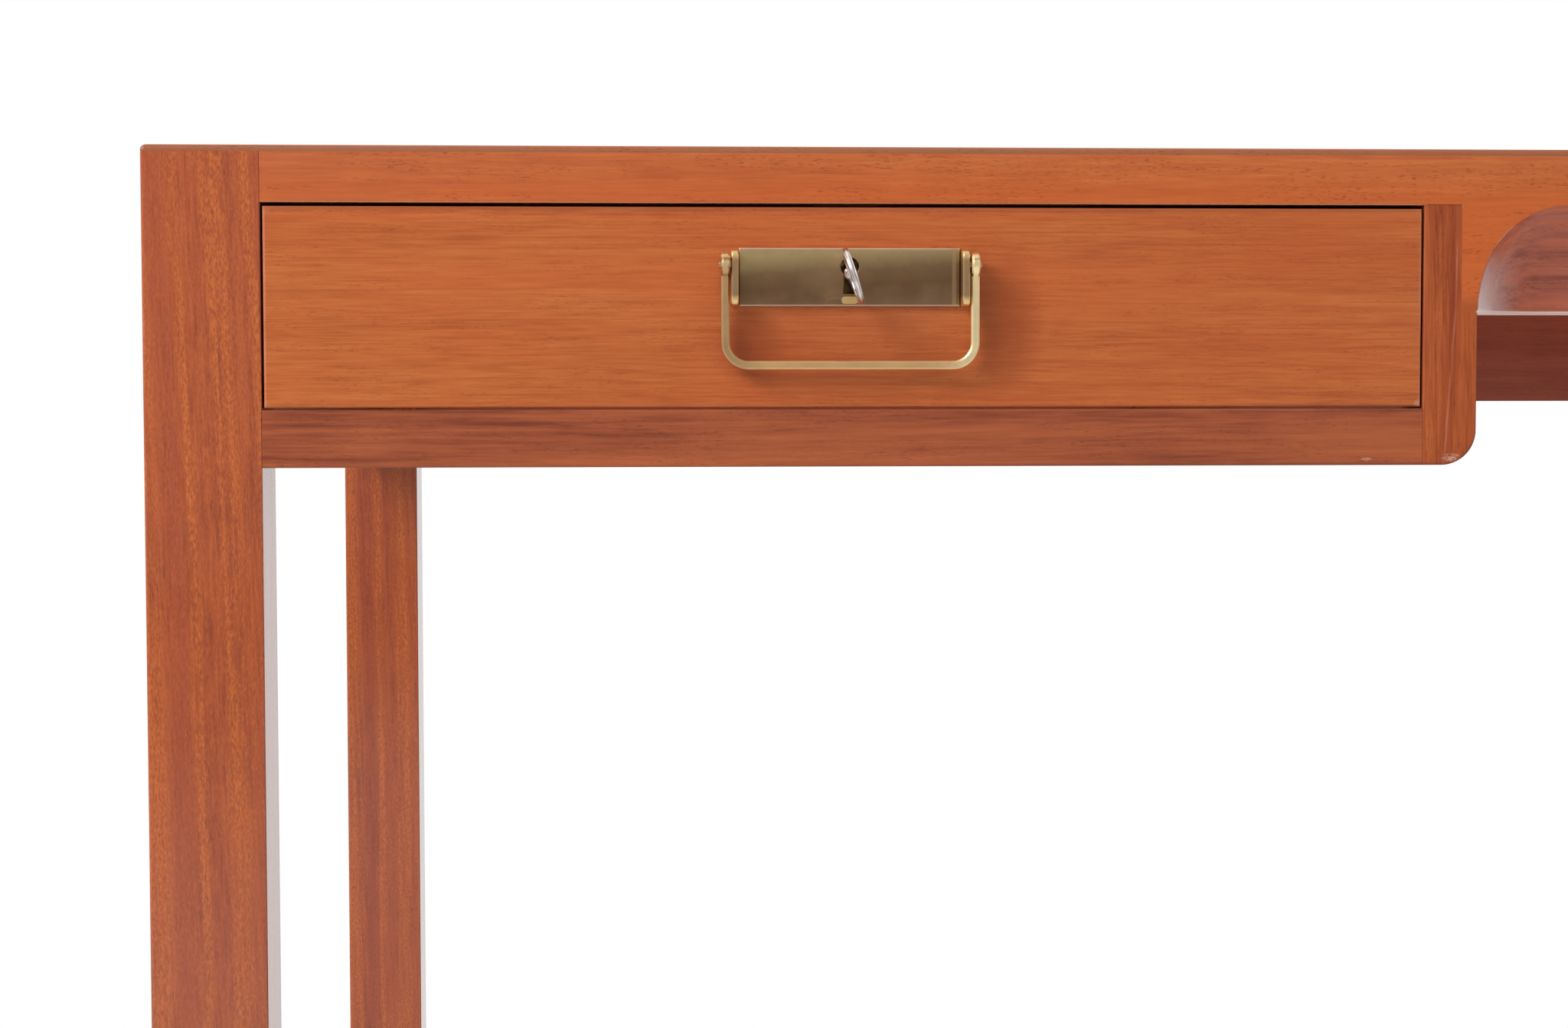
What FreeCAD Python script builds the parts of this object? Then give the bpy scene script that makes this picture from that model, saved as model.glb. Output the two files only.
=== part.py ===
import FreeCAD
import Part
import Sketcher
import os
import re

# Writing desk with two drawers and a kneehole, in millimetres.
# +X points to the user's right, +Y to the back, +Z up. The origin lies on the floor,
# under the middle of the box that the whole desk fills, keys included.

SIZES = {
    # Whole desk
    "desk_height": 730.0,
    "desk_depth": 700.0,
    "kneehole_width": 566.5,
    # Top
    "sheet_thickness": 3.0,
    "sheet_arris": 2.4,
    "core_thickness": 21.0,
    # Legs
    "leg_width": 49.3,
    "leg_depth": 36.0,
    "leg_arris": 1.6,
    # Front frame
    "top_rail_height": 21.0,
    "top_rail_depth": 34.0,
    "apron_drop": 45.8,
    "apron_arris": 1.4,
    "apron_lap": 7.0,
    "scoop_depth": 25.0,
    "arch_reach": 39.5,
    "lower_rail_height": 24.3,
    "lower_rail_depth": 30.0,
    "stile_width": 23.45,
    "stile_depth": 34.0,
    "stile_corner_radius": 15.0,
    "frame_arris": 0.6,
    # Sides and back
    "outer_side_thickness": 18.0,
    "outer_side_inset": 2.0,
    "inner_side_thickness": 16.0,
    "back_rail_thickness": 18.0,
    "back_rail_height": 105.0,
    "back_corner_radius": 15.0,
    # Joints of the frame
    "tenon_length": 16.0,
    "tenon_thickness": 9.0,
    "tenon_shoulder": 4.0,
    "short_tenon_length": 8.0,
    "mortise_slack": 0.5,
    # Drawer box
    "drawer_front_width": 492.0,
    "drawer_front_height": 84.5,
    "drawer_front_thickness": 20.0,
    "drawer_front_arris": 1.0,
    "drawer_gap_top": 1.6,
    "drawer_gap_bottom": 0.9,
    "drawer_gap_side": 1.0,
    "drawer_length": 500.0,
    "drawer_side_thickness": 11.0,
    "drawer_side_height": 72.0,
    "drawer_side_lift": 3.0,
    "drawer_back_thickness": 11.0,
    "bottom_thickness": 5.0,
    "bottom_lift": 7.0,
    "bottom_groove_depth": 5.0,
    "bottom_slack": 0.4,
    # Dovetails
    "front_tail_length": 14.0,
    "tail_root": 11.0,
    "tail_flare": 2.2,
    # Runners
    "runner_height": 14.0,
    "runner_reach": 6.0,
    "runner_setback": 40.0,
    "runner_housing": 4.0,
    "runner_lift": 32.0,
    "runner_clearance": 0.2,
    # Pull plate, posts and bail
    "plate_width": 93.6,
    "plate_height": 24.7,
    "plate_thickness": 2.0,
    "plate_drop": 17.2,
    "plate_arris": 0.5,
    "plate_spigot_spacing": 60.0,
    "plate_spigot_radius": 1.5,
    "plate_spigot_length": 5.0,
    "post_gap": 0.3,
    "post_thickness": 3.2,
    "post_height": 23.9,
    "post_depth": 10.0,
    "post_drop": 1.0,
    "post_nose_radius": 3.5,
    "stud_radius": 1.5,
    "stud_spare": 6.0,
    "stud_clearance": 0.2,
    "nut_radius": 3.2,
    "nut_thickness": 2.4,
    "pin_radius": 1.5,
    "pin_spare": 1.0,
    "pin_hold_clearance": 0.02,
    "pin_run_clearance": 0.06,
    "pivot_drop": 7.4,
    "pivot_stand_off": 6.5,
    "bail_bar": 3.6,
    "bail_depth": 4.2,
    "bail_gap": 0.6,
    "bail_drop": 44.0,
    "bail_bend_radius": 11.4,
    "bail_head_radius": 5.4,
    "bail_arris": 0.7,
    # Lock
    "keyhole_drop": 8.0,
    "keyhole_radius": 4.0,
    "keyhole_throat": 4.7,
    "keyhole_foot": 5.8,
    "keyhole_length": 11.5,
    "keyhole_room": 0.5,
    "lock_width": 58.0,
    "lock_height": 46.0,
    "lock_depth": 12.0,
    "lock_wall": 2.0,
    "selvedge_length": 74.0,
    "selvedge_width": 14.0,
    "selvedge_thickness": 2.5,
    "bolt_width": 26.0,
    "bolt_plate_width": 40.0,
    "bolt_thickness": 2.6,
    "bolt_setback": 3.0,
    "bolt_travel": 7.2,
    "bolt_window_width": 24.0,
    "bolt_window_top": 3.9,
    "bolt_window_bottom": 12.0,
    "bolt_foot": 3.0,
    "bolt_clearance": 0.3,
    "bolt_mortise_depth": 9.0,
    "bolt_mortise_room": 1.5,
    # Key
    "key_reach": 33.0,
    "key_shank_radius": 1.9,
    "key_sag": 2.0,
    "key_droop": 8.0,
    "key_lean": 18.0,
    "key_tip_depth": 16.0,
    "key_bow_radius": 12.2,
    "key_bow_rim": 3.6,
    "key_bow_thickness": 3.2,
    "key_collar_radius": 2.9,
    "key_collar_length": 3.0,
    "key_bit_length": 10.0,
    "key_bit_width": 4.0,
    "key_bit_thickness": 2.0,
    "key_arris": 0.5,
    # Screws
    "screw_radius": 1.6,
    "screw_head_radius": 3.2,
    "lock_screw_length": 14.0,
    "lock_screw_spacing": 66.0,
    "bottom_screw_length": 15.0,
    "bottom_screw_spacing": 150.0,
    "screw_clearance": 0.1,
    # Room that a cut takes past the face it leaves
    "overrun": 2.0,
}

FRONT_TAILS = 3
BACK_TAILS = 2
NUT_SIDES = 6
FULL_TURN = 360.0
HALF_TURN = 180.0
QUARTER_TURN = 90.0
NEARNESS = 1e-4

# Places that several pieces share, as expressions in the sizes above
OPENING_WIDTH = "(drawer_front_width + 2 * drawer_gap_side)"
OPENING_HEIGHT = "(drawer_gap_top + drawer_front_height + drawer_gap_bottom)"
STILE_FACE = "(kneehole_width / 2 + stile_width)"
LEG_FACE = f"({STILE_FACE} + {OPENING_WIDTH})"
HALF_WIDTH = f"({LEG_FACE} + leg_width)"
SHEET_BOTTOM = "(desk_height - sheet_thickness)"
RAIL_BOTTOM = f"({SHEET_BOTTOM} - top_rail_height)"
CORE_BOTTOM = f"({SHEET_BOTTOM} - core_thickness)"
CASE_BOTTOM = f"({RAIL_BOTTOM} - {OPENING_HEIGHT} - lower_rail_height)"
CASE_HEIGHT = f"({SHEET_BOTTOM} - {CASE_BOTTOM})"
FRONT = "((key_reach - desk_depth) / 2)"
DRAWER_CENTRE = f"({STILE_FACE} + {OPENING_WIDTH} / 2)"
DRAWER_FLOOR = f"({RAIL_BOTTOM} - drawer_gap_top - drawer_front_height)"
SIDE_LENGTH = "(desk_depth - 2 * leg_depth)"
INNER_LENGTH = "(desk_depth - stile_depth - back_rail_thickness)"
PLATE_TOP = "(drawer_front_height - plate_drop)"
PLATE_BOTTOM = f"({PLATE_TOP} - plate_height)"
PIVOT_LEVEL = f"({PLATE_TOP} - pivot_drop)"
KEY_LEVEL = f"({PLATE_TOP} - keyhole_drop)"
POST_INNER = "(plate_width / 2 + post_gap)"
POST_OUTER = f"({POST_INNER} + post_thickness)"
ARM_INNER = f"({POST_OUTER} + bail_gap)"
ARM_OUTER = f"({ARM_INNER} + bail_bar)"
STUD_LEVEL = f"({PLATE_TOP} - post_drop - post_height / 2)"
SIDE_TOP = "(drawer_side_lift + drawer_side_height)"
PANEL_BOTTOM = "(drawer_side_lift + bottom_lift)"
PANEL_TOP = f"({PANEL_BOTTOM} + bottom_thickness)"
RUNNER_TOP = "(runner_lift + runner_height)"
LOCK_FRONT = "(drawer_front_thickness - lock_depth)"
LOCK_FLOOR = "(drawer_front_height - lock_height)"
SELVEDGE_BOTTOM = "(drawer_front_height - selvedge_thickness)"
BOLT_FRONT = f"({LOCK_FRONT} + bolt_setback)"
SCREW_HEAD = "(screw_head_radius - screw_radius)"

doc = FreeCAD.newDocument("desk")
sheet = doc.addObject("Spreadsheet::Sheet", "dims")
for row, (size_name, size_value) in enumerate(SIZES.items(), start=1):
    sheet.set(f"A{row}", size_name)
    sheet.set(f"B{row}", str(size_value))
    sheet.setAlias(f"B{row}", size_name)
doc.recompute()

nodes = []


# Expressions and placing

def bound(expression):
    """Point every size name in an expression at its cell of the sheet."""
    def cell(match):
        word = match.group(0)
        return f"dims.{word}" if word in SIZES else word
    return re.sub(r"[a-z][a-z_]*", cell, str(expression))


def number(expression):
    """Value of an expression at the sheet's present sizes."""
    return float(sheet.evalExpression(bound(expression)))


def bind(thing, **expressions):
    """Bind properties of an object to expressions."""
    for name, expression in expressions.items():
        thing.setExpression(name, bound(expression))
    return thing


def place(thing, x, y, z):
    """Bind an object's position to three expressions."""
    thing.setExpression("Placement.Base.x", bound(x))
    thing.setExpression("Placement.Base.y", bound(y))
    thing.setExpression("Placement.Base.z", bound(z))
    return thing


def keep(thing, label):
    """Name a finished sub-part, so that it gets a file of its own."""
    thing.Label = label
    nodes.append(thing)
    return thing


# Sketches and features

def new_body(label):
    return keep(doc.addObject("PartDesign::Body", label), label)


def sketch_on(body, role, name, lift="0"):
    """Sketch on one of the body's own planes, lifted along the plane's normal."""
    sketch = body.newObject("Sketcher::SketchObject", f"{body.Name}_{name}")
    planes = [item for item in body.Origin.OriginFeatures if item.Role == role]
    sketch.AttachmentSupport = [(planes[0], "")]
    sketch.MapMode = "FlatFace"
    sketch.setExpression("AttachmentOffset.Base.z", bound(lift))
    return sketch


def draw(sketch, corners, arcs=None):
    """Closed outline through bound corners; arcs maps a side to its centre and radius."""
    arcs = arcs or {}
    points = [FreeCAD.Vector(number(x), number(y), 0) for x, y in corners]
    sides = []
    for index, start in enumerate(points):
        end = points[(index + 1) % len(points)]
        if index not in arcs:
            sides.append((sketch.addGeometry(Part.LineSegment(start, end)), 1, 2))
            continue
        centre_x, centre_y, radius = arcs[index]
        centre = FreeCAD.Vector(number(centre_x), number(centre_y), 0)
        ring = Part.Circle(centre, FreeCAD.Vector(0, 0, 1), number(radius))
        forward = (start - centre).cross(end - centre).z > 0
        first, last = (start, end) if forward else (end, start)
        arc = Part.ArcOfCircle(ring, ring.parameter(first), ring.parameter(last))
        sides.append((sketch.addGeometry(arc), 1 if forward else 2, 2 if forward else 1))
    rules = []
    values = []
    for index, (x, y) in enumerate(corners):
        side, start_end, _ = sides[index]
        previous, _, last_end = sides[index - 1]
        rules.append(Sketcher.Constraint("Coincident", previous, last_end, side, start_end))
        values.append(None)
        rules.append(Sketcher.Constraint("DistanceX", -1, 1, side, start_end, points[index].x))
        values.append(x)
        rules.append(Sketcher.Constraint("DistanceY", -1, 1, side, start_end, points[index].y))
        values.append(y)
        if index in arcs:
            rules.append(Sketcher.Constraint("Radius", side, number(arcs[index][2])))
            values.append(arcs[index][2])
    bind_rules(sketch, rules, values)


def draw_box(sketch, left, low, right, high):
    draw(sketch, [(left, low), (right, low), (right, high), (left, high)])


def draw_circle(sketch, x, y, radius):
    centre = FreeCAD.Vector(number(x), number(y), 0)
    ring = sketch.addGeometry(Part.Circle(centre, FreeCAD.Vector(0, 0, 1), number(radius)))
    rules = [
        Sketcher.Constraint("DistanceX", -1, 1, ring, 3, centre.x),
        Sketcher.Constraint("DistanceY", -1, 1, ring, 3, centre.y),
        Sketcher.Constraint("Radius", ring, number(radius)),
    ]
    bind_rules(sketch, rules, [x, y, radius])


def bind_rules(sketch, rules, values):
    """Add constraints in one go and bind those that have an expression."""
    first = sketch.ConstraintCount
    sketch.addConstraint(rules)
    for offset, expression in enumerate(values):
        if expression is not None:
            sketch.setExpression(f"Constraints[{first + offset}]", bound(expression))


def extrude(kind, body, sketch, length, reverse, both_ways):
    feature = body.newObject(f"PartDesign::{kind}", f"{sketch.Name}_{kind.lower()}")
    feature.Profile = sketch
    feature.setExpression("Length", bound(length))
    feature.Reversed = reverse
    if both_ways:
        feature.SideType = "Symmetric"
    return feature


def pad(body, sketch, length, reverse=False, both_ways=False):
    return extrude("Pad", body, sketch, length, reverse, both_ways)


def pocket(body, sketch, length, reverse=False, both_ways=False):
    """Cut a sketch into the body, and stop if the cut takes nothing away."""
    doc.recompute()
    before = body.Shape.Volume
    feature = extrude("Pocket", body, sketch, length, reverse, both_ways)
    doc.recompute()
    if not body.Shape.Volume < before:
        raise RuntimeError(f"{feature.Name} cuts nothing")
    return feature


def dress_edges(body, kind, measure, size, chosen):
    """Dress those edges of the body's latest feature that the test accepts."""
    doc.recompute()
    base = body.Tip
    picked = []
    for index, edge in enumerate(base.Shape.Edges, start=1):
        if chosen(edge):
            picked.append(f"Edge{index}")
    dressed = body.newObject(f"PartDesign::{kind}", f"{base.Name}_{kind.lower()}")
    dressed.Base = (base, picked)
    dressed.setExpression(measure, bound(size))
    return dressed


def soften(body, radius, chosen):
    return dress_edges(body, "Fillet", "Radius", radius, chosen)


def bevel(body, size, chosen):
    return dress_edges(body, "Chamfer", "Size", size, chosen)


def countersink(body, level):
    """Widen the round holes of the body's latest feature where they leave through a level."""
    return bevel(body, SCREW_HEAD,
                 lambda edge: lies_at(edge, "z", level) and len(edge.Vertexes) == 1)


def lies_at(edge, axis, expression):
    """True where every end of an edge has the given coordinate."""
    level = number(expression)
    return all(abs(getattr(corner.Point, axis) - level) < NEARNESS for corner in edge.Vertexes)


def runs_along(edge, axis):
    """True for a straight edge parallel to an axis."""
    if len(edge.Vertexes) != 2 or not isinstance(edge.Curve, Part.Line):
        return False
    return abs(abs(getattr(edge.tangentAt(edge.FirstParameter), axis)) - 1) < NEARNESS


# Carcass

def make_top_sheet():
    body = place(new_body("top_sheet"), "0", FRONT, SHEET_BOTTOM)
    plan = sketch_on(body, "XY_Plane", "plan")
    draw_box(plan, f"-{HALF_WIDTH}", "0", HALF_WIDTH, "desk_depth")
    pad(body, plan, "sheet_thickness")
    soften(body, "leg_arris", lambda edge: runs_along(edge, "z"))
    soften(body, "sheet_arris", lambda edge: lies_at(edge, "z", "sheet_thickness"))


def make_top_core():
    """Board between the rails, cut round the four legs."""
    body = place(new_body("top_core"), "0", FRONT, CORE_BOTTOM)
    plan = sketch_on(body, "XY_Plane", "plan")
    side = f"({HALF_WIDTH} - outer_side_inset - outer_side_thickness)"
    back = "(desk_depth - back_rail_thickness)"
    rear_leg = "(desk_depth - leg_depth)"
    draw(plan, [
        (f"-{LEG_FACE}", "top_rail_depth"), (LEG_FACE, "top_rail_depth"),
        (LEG_FACE, "leg_depth"), (side, "leg_depth"),
        (side, rear_leg), (LEG_FACE, rear_leg),
        (LEG_FACE, back), (f"-{LEG_FACE}", back),
        (f"-{LEG_FACE}", rear_leg), (f"-{side}", rear_leg),
        (f"-{side}", "leg_depth"), (f"-{LEG_FACE}", "leg_depth"),
    ])
    pad(body, plan, "core_thickness")


def make_front_top_rail():
    """Rail under the sheet whose middle drops to a scooped apron over the kneehole."""
    body = place(new_body("front_top_rail"), "0", FRONT, RAIL_BOTTOM)
    lap = "(kneehole_width / 2 + apron_lap)"
    face = sketch_on(body, "XZ_Plane", "face")
    draw(face, [
        (f"-{LEG_FACE}", "top_rail_height"), (f"-{LEG_FACE}", "0"),
        (f"-{lap}", "0"), (f"-{lap}", "-apron_drop"),
        (lap, "-apron_drop"), (lap, "0"),
        (LEG_FACE, "0"), (LEG_FACE, "top_rail_height"),
    ])
    pad(body, face, "top_rail_depth", reverse=True)

    def front_lower_edge(edge):
        return lies_at(edge, "y", "0") and lies_at(edge, "z", "0")
    soften(body, "frame_arris", front_lower_edge)

    middle = "(top_rail_depth / 2)"
    tenon = sketch_on(body, "XZ_Plane", "tenon", f"tenon_thickness / 2 - {middle}")
    for way in ("-", ""):
        tip = f"{way}({LEG_FACE} + tenon_length)"
        draw_box(tenon, f"{way}{LEG_FACE}", "tenon_shoulder", tip,
                 "top_rail_height - tenon_shoulder")
    pad(body, tenon, "tenon_thickness", reverse=True)

    # The scoop is a hollow with round ends, turned about a line in front of the apron
    turn_radius = "((apron_drop ^ 2 / scoop_depth + scoop_depth) / 2)"
    end_radius = "((arch_reach ^ 2 / scoop_depth + scoop_depth) / 2)"
    ahead = f"({turn_radius} - scoop_depth)"
    end_lift = f"({turn_radius} - {end_radius})"
    scoop = sketch_on(body, "XY_Plane", "scoop", "-apron_drop")
    scoop.setExpression("AttachmentOffset.Base.y", bound(f"-{ahead}"))
    centre = "(kneehole_width / 2 - arch_reach)"
    tip = f"({centre} + sqrt({end_radius} ^ 2 - {end_lift} ^ 2))"
    draw(scoop, [
        (f"-{tip}", "0"), (tip, "0"), (centre, turn_radius), (f"-{centre}", turn_radius),
    ], {1: (centre, end_lift, end_radius), 3: (f"-{centre}", end_lift, end_radius)})
    doc.recompute()
    before = body.Shape.Volume
    groove = body.newObject("PartDesign::Groove", "front_top_rail_groove")
    groove.Profile = scoop
    groove.ReferenceAxis = (scoop, ["H_Axis"])
    groove.Angle = FULL_TURN
    doc.recompute()
    if not body.Shape.Volume < before:
        raise RuntimeError("the scoop cuts nothing")

    def scoop_foot(edge):
        return lies_at(edge, "y", "scoop_depth") and lies_at(edge, "z", "-apron_drop")
    soften(body, "apron_arris", scoop_foot)

    # Mortises that the lock bolts rise into
    half_bolt = "(bolt_width / 2 + bolt_mortise_room)"
    bolts = sketch_on(body, "XY_Plane", "bolts")
    for way in ("-", ""):
        middle_x = f"{way}{DRAWER_CENTRE}"
        draw_box(bolts, f"{middle_x} - {half_bolt}", f"{BOLT_FRONT} - bolt_mortise_room",
                 f"{middle_x} + {half_bolt}", f"{BOLT_FRONT} + bolt_thickness + bolt_mortise_room")
    pocket(body, bolts, "bolt_mortise_depth", reverse=True)


def make_leg(label, way, rear):
    """Leg with mortises for the rails in its inner face and for the side in its other face."""
    y = f"({FRONT} + desk_depth - leg_depth)" if rear else FRONT
    body = place(new_body(label), f"{way}{HALF_WIDTH}", y, "0")
    inward = "-" if way == "" else ""
    plan = sketch_on(body, "XY_Plane", "plan")
    draw_box(plan, "0", "0", f"{inward}leg_width", "leg_depth")
    pad(body, plan, SHEET_BOTTOM)
    soften(body, "leg_arris", lambda edge: lies_at(edge, "x", "0") and runs_along(edge, "z"))
    soften(body, "frame_arris", lambda edge: lies_at(edge, "x", f"{inward}leg_width")
           and runs_along(edge, "z"))

    mortise_depth = "(tenon_length + mortise_slack)"
    rails = sketch_on(body, "YZ_Plane", "rail_mortises", f"{inward}(leg_width - {mortise_depth})")
    if rear:
        middle = "(leg_depth - back_rail_thickness / 2)"
        spans = [(f"{CASE_BOTTOM} + tenon_shoulder", f"{SHEET_BOTTOM} - tenon_shoulder", middle)]
    else:
        lower = f"({CASE_BOTTOM} + lower_rail_height)"
        spans = [
            (f"{RAIL_BOTTOM} + tenon_shoulder", f"{SHEET_BOTTOM} - tenon_shoulder",
             "(top_rail_depth / 2)"),
            (f"{CASE_BOTTOM} + tenon_shoulder", f"{lower} - tenon_shoulder",
             "(lower_rail_depth / 2)"),
        ]
    for low, high, middle in spans:
        draw_box(rails, f"{middle} - tenon_thickness / 2", low,
                 f"{middle} + tenon_thickness / 2", high)
    pocket(body, rails, f"{mortise_depth} + overrun", reverse=(way == "-"))

    side_middle = f"{inward}(outer_side_inset + outer_side_thickness / 2)"
    slot_depth = "(short_tenon_length + mortise_slack)"
    lift = f"-{slot_depth}" if rear else f"{slot_depth} - leg_depth"
    side = sketch_on(body, "XZ_Plane", "side_mortise", lift)
    draw_box(side, f"{side_middle} - tenon_thickness / 2", f"{CASE_BOTTOM} + tenon_shoulder",
             f"{side_middle} + tenon_thickness / 2", f"{SHEET_BOTTOM} - tenon_shoulder")
    pocket(body, side, f"{slot_depth} + overrun", reverse=rear)


def make_lower_rail(side, way):
    """Rail under a drawer, with a tenon into the leg and a shorter one into the stile."""
    body = place(new_body(f"{side}_lower_rail"), f"{way}{STILE_FACE}", FRONT, CASE_BOTTOM)
    face = sketch_on(body, "XZ_Plane", "face")
    draw_box(face, "0", "0", f"{way}{OPENING_WIDTH}", "lower_rail_height")
    pad(body, face, "lower_rail_depth", reverse=True)
    soften(body, "frame_arris", lambda edge: lies_at(edge, "y", "0") and runs_along(edge, "x"))
    tenon = sketch_on(body, "XZ_Plane", "tenon", "(tenon_thickness - lower_rail_depth) / 2")
    top = "lower_rail_height - tenon_shoulder"
    draw_box(tenon, f"{way}{OPENING_WIDTH}", "tenon_shoulder",
             f"{way}({OPENING_WIDTH} + tenon_length)", top)
    draw_box(tenon, "0", "tenon_shoulder", f"0 - {way}short_tenon_length", top)
    pad(body, tenon, "tenon_thickness", reverse=True)


def make_stile(side, way):
    """Post between drawer and kneehole, notched for the apron, with a round lower corner."""
    body = place(new_body(f"{side}_stile"), f"{way}(kneehole_width / 2)", FRONT, CASE_BOTTOM)
    height = f"({OPENING_HEIGHT} + lower_rail_height)"
    notch = f"({height} - apron_drop)"
    face = sketch_on(body, "XZ_Plane", "face")
    draw(face, [
        (f"{way}stile_corner_radius", "0"), (f"{way}stile_width", "0"),
        (f"{way}stile_width", height), (f"{way}apron_lap", height),
        (f"{way}apron_lap", notch), ("0", notch), ("0", "stile_corner_radius"),
    ], {6: (f"{way}stile_corner_radius", "stile_corner_radius", "stile_corner_radius")})
    pad(body, face, "stile_depth", reverse=True)

    def worn_edge(edge):
        on_face = lies_at(edge, "y", "0")
        return on_face and not lies_at(edge, "z", height) and not lies_at(edge, "z", notch) \
            and not lies_at(edge, "x", f"{way}apron_lap")
    soften(body, "frame_arris", worn_edge)

    rail_slot = "(short_tenon_length + mortise_slack)"
    middle = "(lower_rail_depth / 2)"
    rail = sketch_on(body, "YZ_Plane", "rail_mortise", f"{way}(stile_width - {rail_slot})")
    draw_box(rail, f"{middle} - tenon_thickness / 2", "tenon_shoulder",
             f"{middle} + tenon_thickness / 2", "lower_rail_height - tenon_shoulder")
    pocket(body, rail, f"{rail_slot} + overrun", reverse=(way == ""))

    panel = sketch_on(body, "XZ_Plane", "panel_mortise", f"{rail_slot} - stile_depth")
    panel_middle = f"{way}(inner_side_thickness / 2)"
    draw_box(panel, f"{panel_middle} - tenon_thickness / 2", "stile_corner_radius",
             f"{panel_middle} + tenon_thickness / 2", f"{notch} - tenon_shoulder")
    pocket(body, panel, f"{rail_slot} + overrun")


def make_outer_side(side, way):
    """Side apron between the legs, with a housing for the outer runner."""
    outer = f"({HALF_WIDTH} - outer_side_inset)"
    body = place(new_body(f"{side}_outer_side"), f"{way}{outer}", f"({FRONT} + leg_depth)",
                 CASE_BOTTOM)
    face = sketch_on(body, "YZ_Plane", "face")
    draw_box(face, "0", "0", SIDE_LENGTH, CASE_HEIGHT)
    pad(body, face, "outer_side_thickness", reverse=(way == ""))
    soften(body, "frame_arris", lambda edge: lies_at(edge, "z", "0") and runs_along(edge, "y"))
    cheek = "((outer_side_thickness - tenon_thickness) / 2)"
    turn = "-" if way == "" else ""
    tenon = sketch_on(body, "YZ_Plane", "tenon", f"{turn}{cheek}")
    top = f"{CASE_HEIGHT} - tenon_shoulder"
    draw_box(tenon, "-short_tenon_length", "tenon_shoulder", "0", top)
    draw_box(tenon, SIDE_LENGTH, "tenon_shoulder", f"{SIDE_LENGTH} + short_tenon_length", top)
    pad(body, tenon, "tenon_thickness", reverse=(way == ""))
    depth = "(outer_side_thickness - runner_housing)"
    cut_housing(body, f"{turn}{depth}", way == "", SIDE_LENGTH, "leg_depth")


def make_inner_side(side, way):
    """Kneehole side of a drawer case, tongued into the stile and the back."""
    body = place(new_body(f"{side}_inner_side"), f"{way}(kneehole_width / 2)",
                 f"({FRONT} + stile_depth)", CASE_BOTTOM)
    height = f"({CORE_BOTTOM} - {CASE_BOTTOM})"
    face = sketch_on(body, "YZ_Plane", "face")
    draw_box(face, "0", "0", INNER_LENGTH, height)
    pad(body, face, "inner_side_thickness", reverse=(way == "-"))
    soften(body, "frame_arris", lambda edge: lies_at(edge, "z", "0") and runs_along(edge, "y"))
    cheek = "((inner_side_thickness - tenon_thickness) / 2)"
    tongue = sketch_on(body, "YZ_Plane", "tongue", f"{way}{cheek}")
    top = f"({OPENING_HEIGHT} + lower_rail_height - tenon_shoulder)"
    draw_box(tongue, "-short_tenon_length", "stile_corner_radius", "0", f"{top} - apron_drop")
    draw_box(tongue, INNER_LENGTH, "stile_corner_radius",
             f"{INNER_LENGTH} + short_tenon_length", top)
    pad(body, tongue, "tenon_thickness", reverse=(way == "-"))
    depth = "(inner_side_thickness - runner_housing)"
    cut_housing(body, f"{way}{depth}", way == "-", INNER_LENGTH, "stile_depth")


def cut_housing(body, lift, reverse, length, setback):
    """Long shallow groove that a runner is glued into."""
    low = f"({DRAWER_FLOOR} + runner_lift - {CASE_BOTTOM})"
    groove = sketch_on(body, "YZ_Plane", "housing", lift)
    draw_box(groove, f"runner_setback - {setback}", low, length, f"{low} + runner_height")
    pocket(body, groove, "runner_housing + overrun", reverse=not reverse)


def make_back_rail():
    """Back board between the rear legs, cut higher over the kneehole."""
    body = place(new_body("back_rail"), "0", f"({FRONT} + desk_depth - back_rail_thickness)",
                 CASE_BOTTOM)
    cut = f"({CASE_HEIGHT} - back_rail_height)"
    half = "(kneehole_width / 2)"
    bend = f"({cut} - back_corner_radius)"
    inside = f"({half} - back_corner_radius)"
    face = sketch_on(body, "XZ_Plane", "face")
    draw(face, [
        (f"-{LEG_FACE}", CASE_HEIGHT), (f"-{LEG_FACE}", "0"), (f"-{half}", "0"),
        (f"-{half}", bend), (f"-{inside}", cut), (inside, cut), (half, bend),
        (half, "0"), (LEG_FACE, "0"), (LEG_FACE, CASE_HEIGHT),
    ], {3: (f"-{inside}", bend, "back_corner_radius"), 5: (inside, bend, "back_corner_radius")})
    pad(body, face, "back_rail_thickness", reverse=True)
    soften(body, "frame_arris", lambda edge: lies_at(edge, "y", "back_rail_thickness")
           and not lies_at(edge, "z", CASE_HEIGHT) and not runs_along(edge, "z"))

    tenon = sketch_on(body, "XZ_Plane", "tenon", "(tenon_thickness - back_rail_thickness) / 2")
    for way in ("-", ""):
        draw_box(tenon, f"{way}{LEG_FACE}", "tenon_shoulder", f"{way}({LEG_FACE} + tenon_length)",
                 f"{CASE_HEIGHT} - tenon_shoulder")
    pad(body, tenon, "tenon_thickness", reverse=True)

    slot_depth = "(short_tenon_length + mortise_slack)"
    slots = sketch_on(body, "XZ_Plane", "slots", f"-{slot_depth}")
    top = f"({OPENING_HEIGHT} + lower_rail_height - tenon_shoulder)"
    for way in ("-", ""):
        middle = f"{way}({half} + inner_side_thickness / 2)"
        draw_box(slots, f"{middle} - tenon_thickness / 2", "stile_corner_radius",
                 f"{middle} + tenon_thickness / 2", top)
    pocket(body, slots, f"{slot_depth} + overrun", reverse=True)


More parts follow.
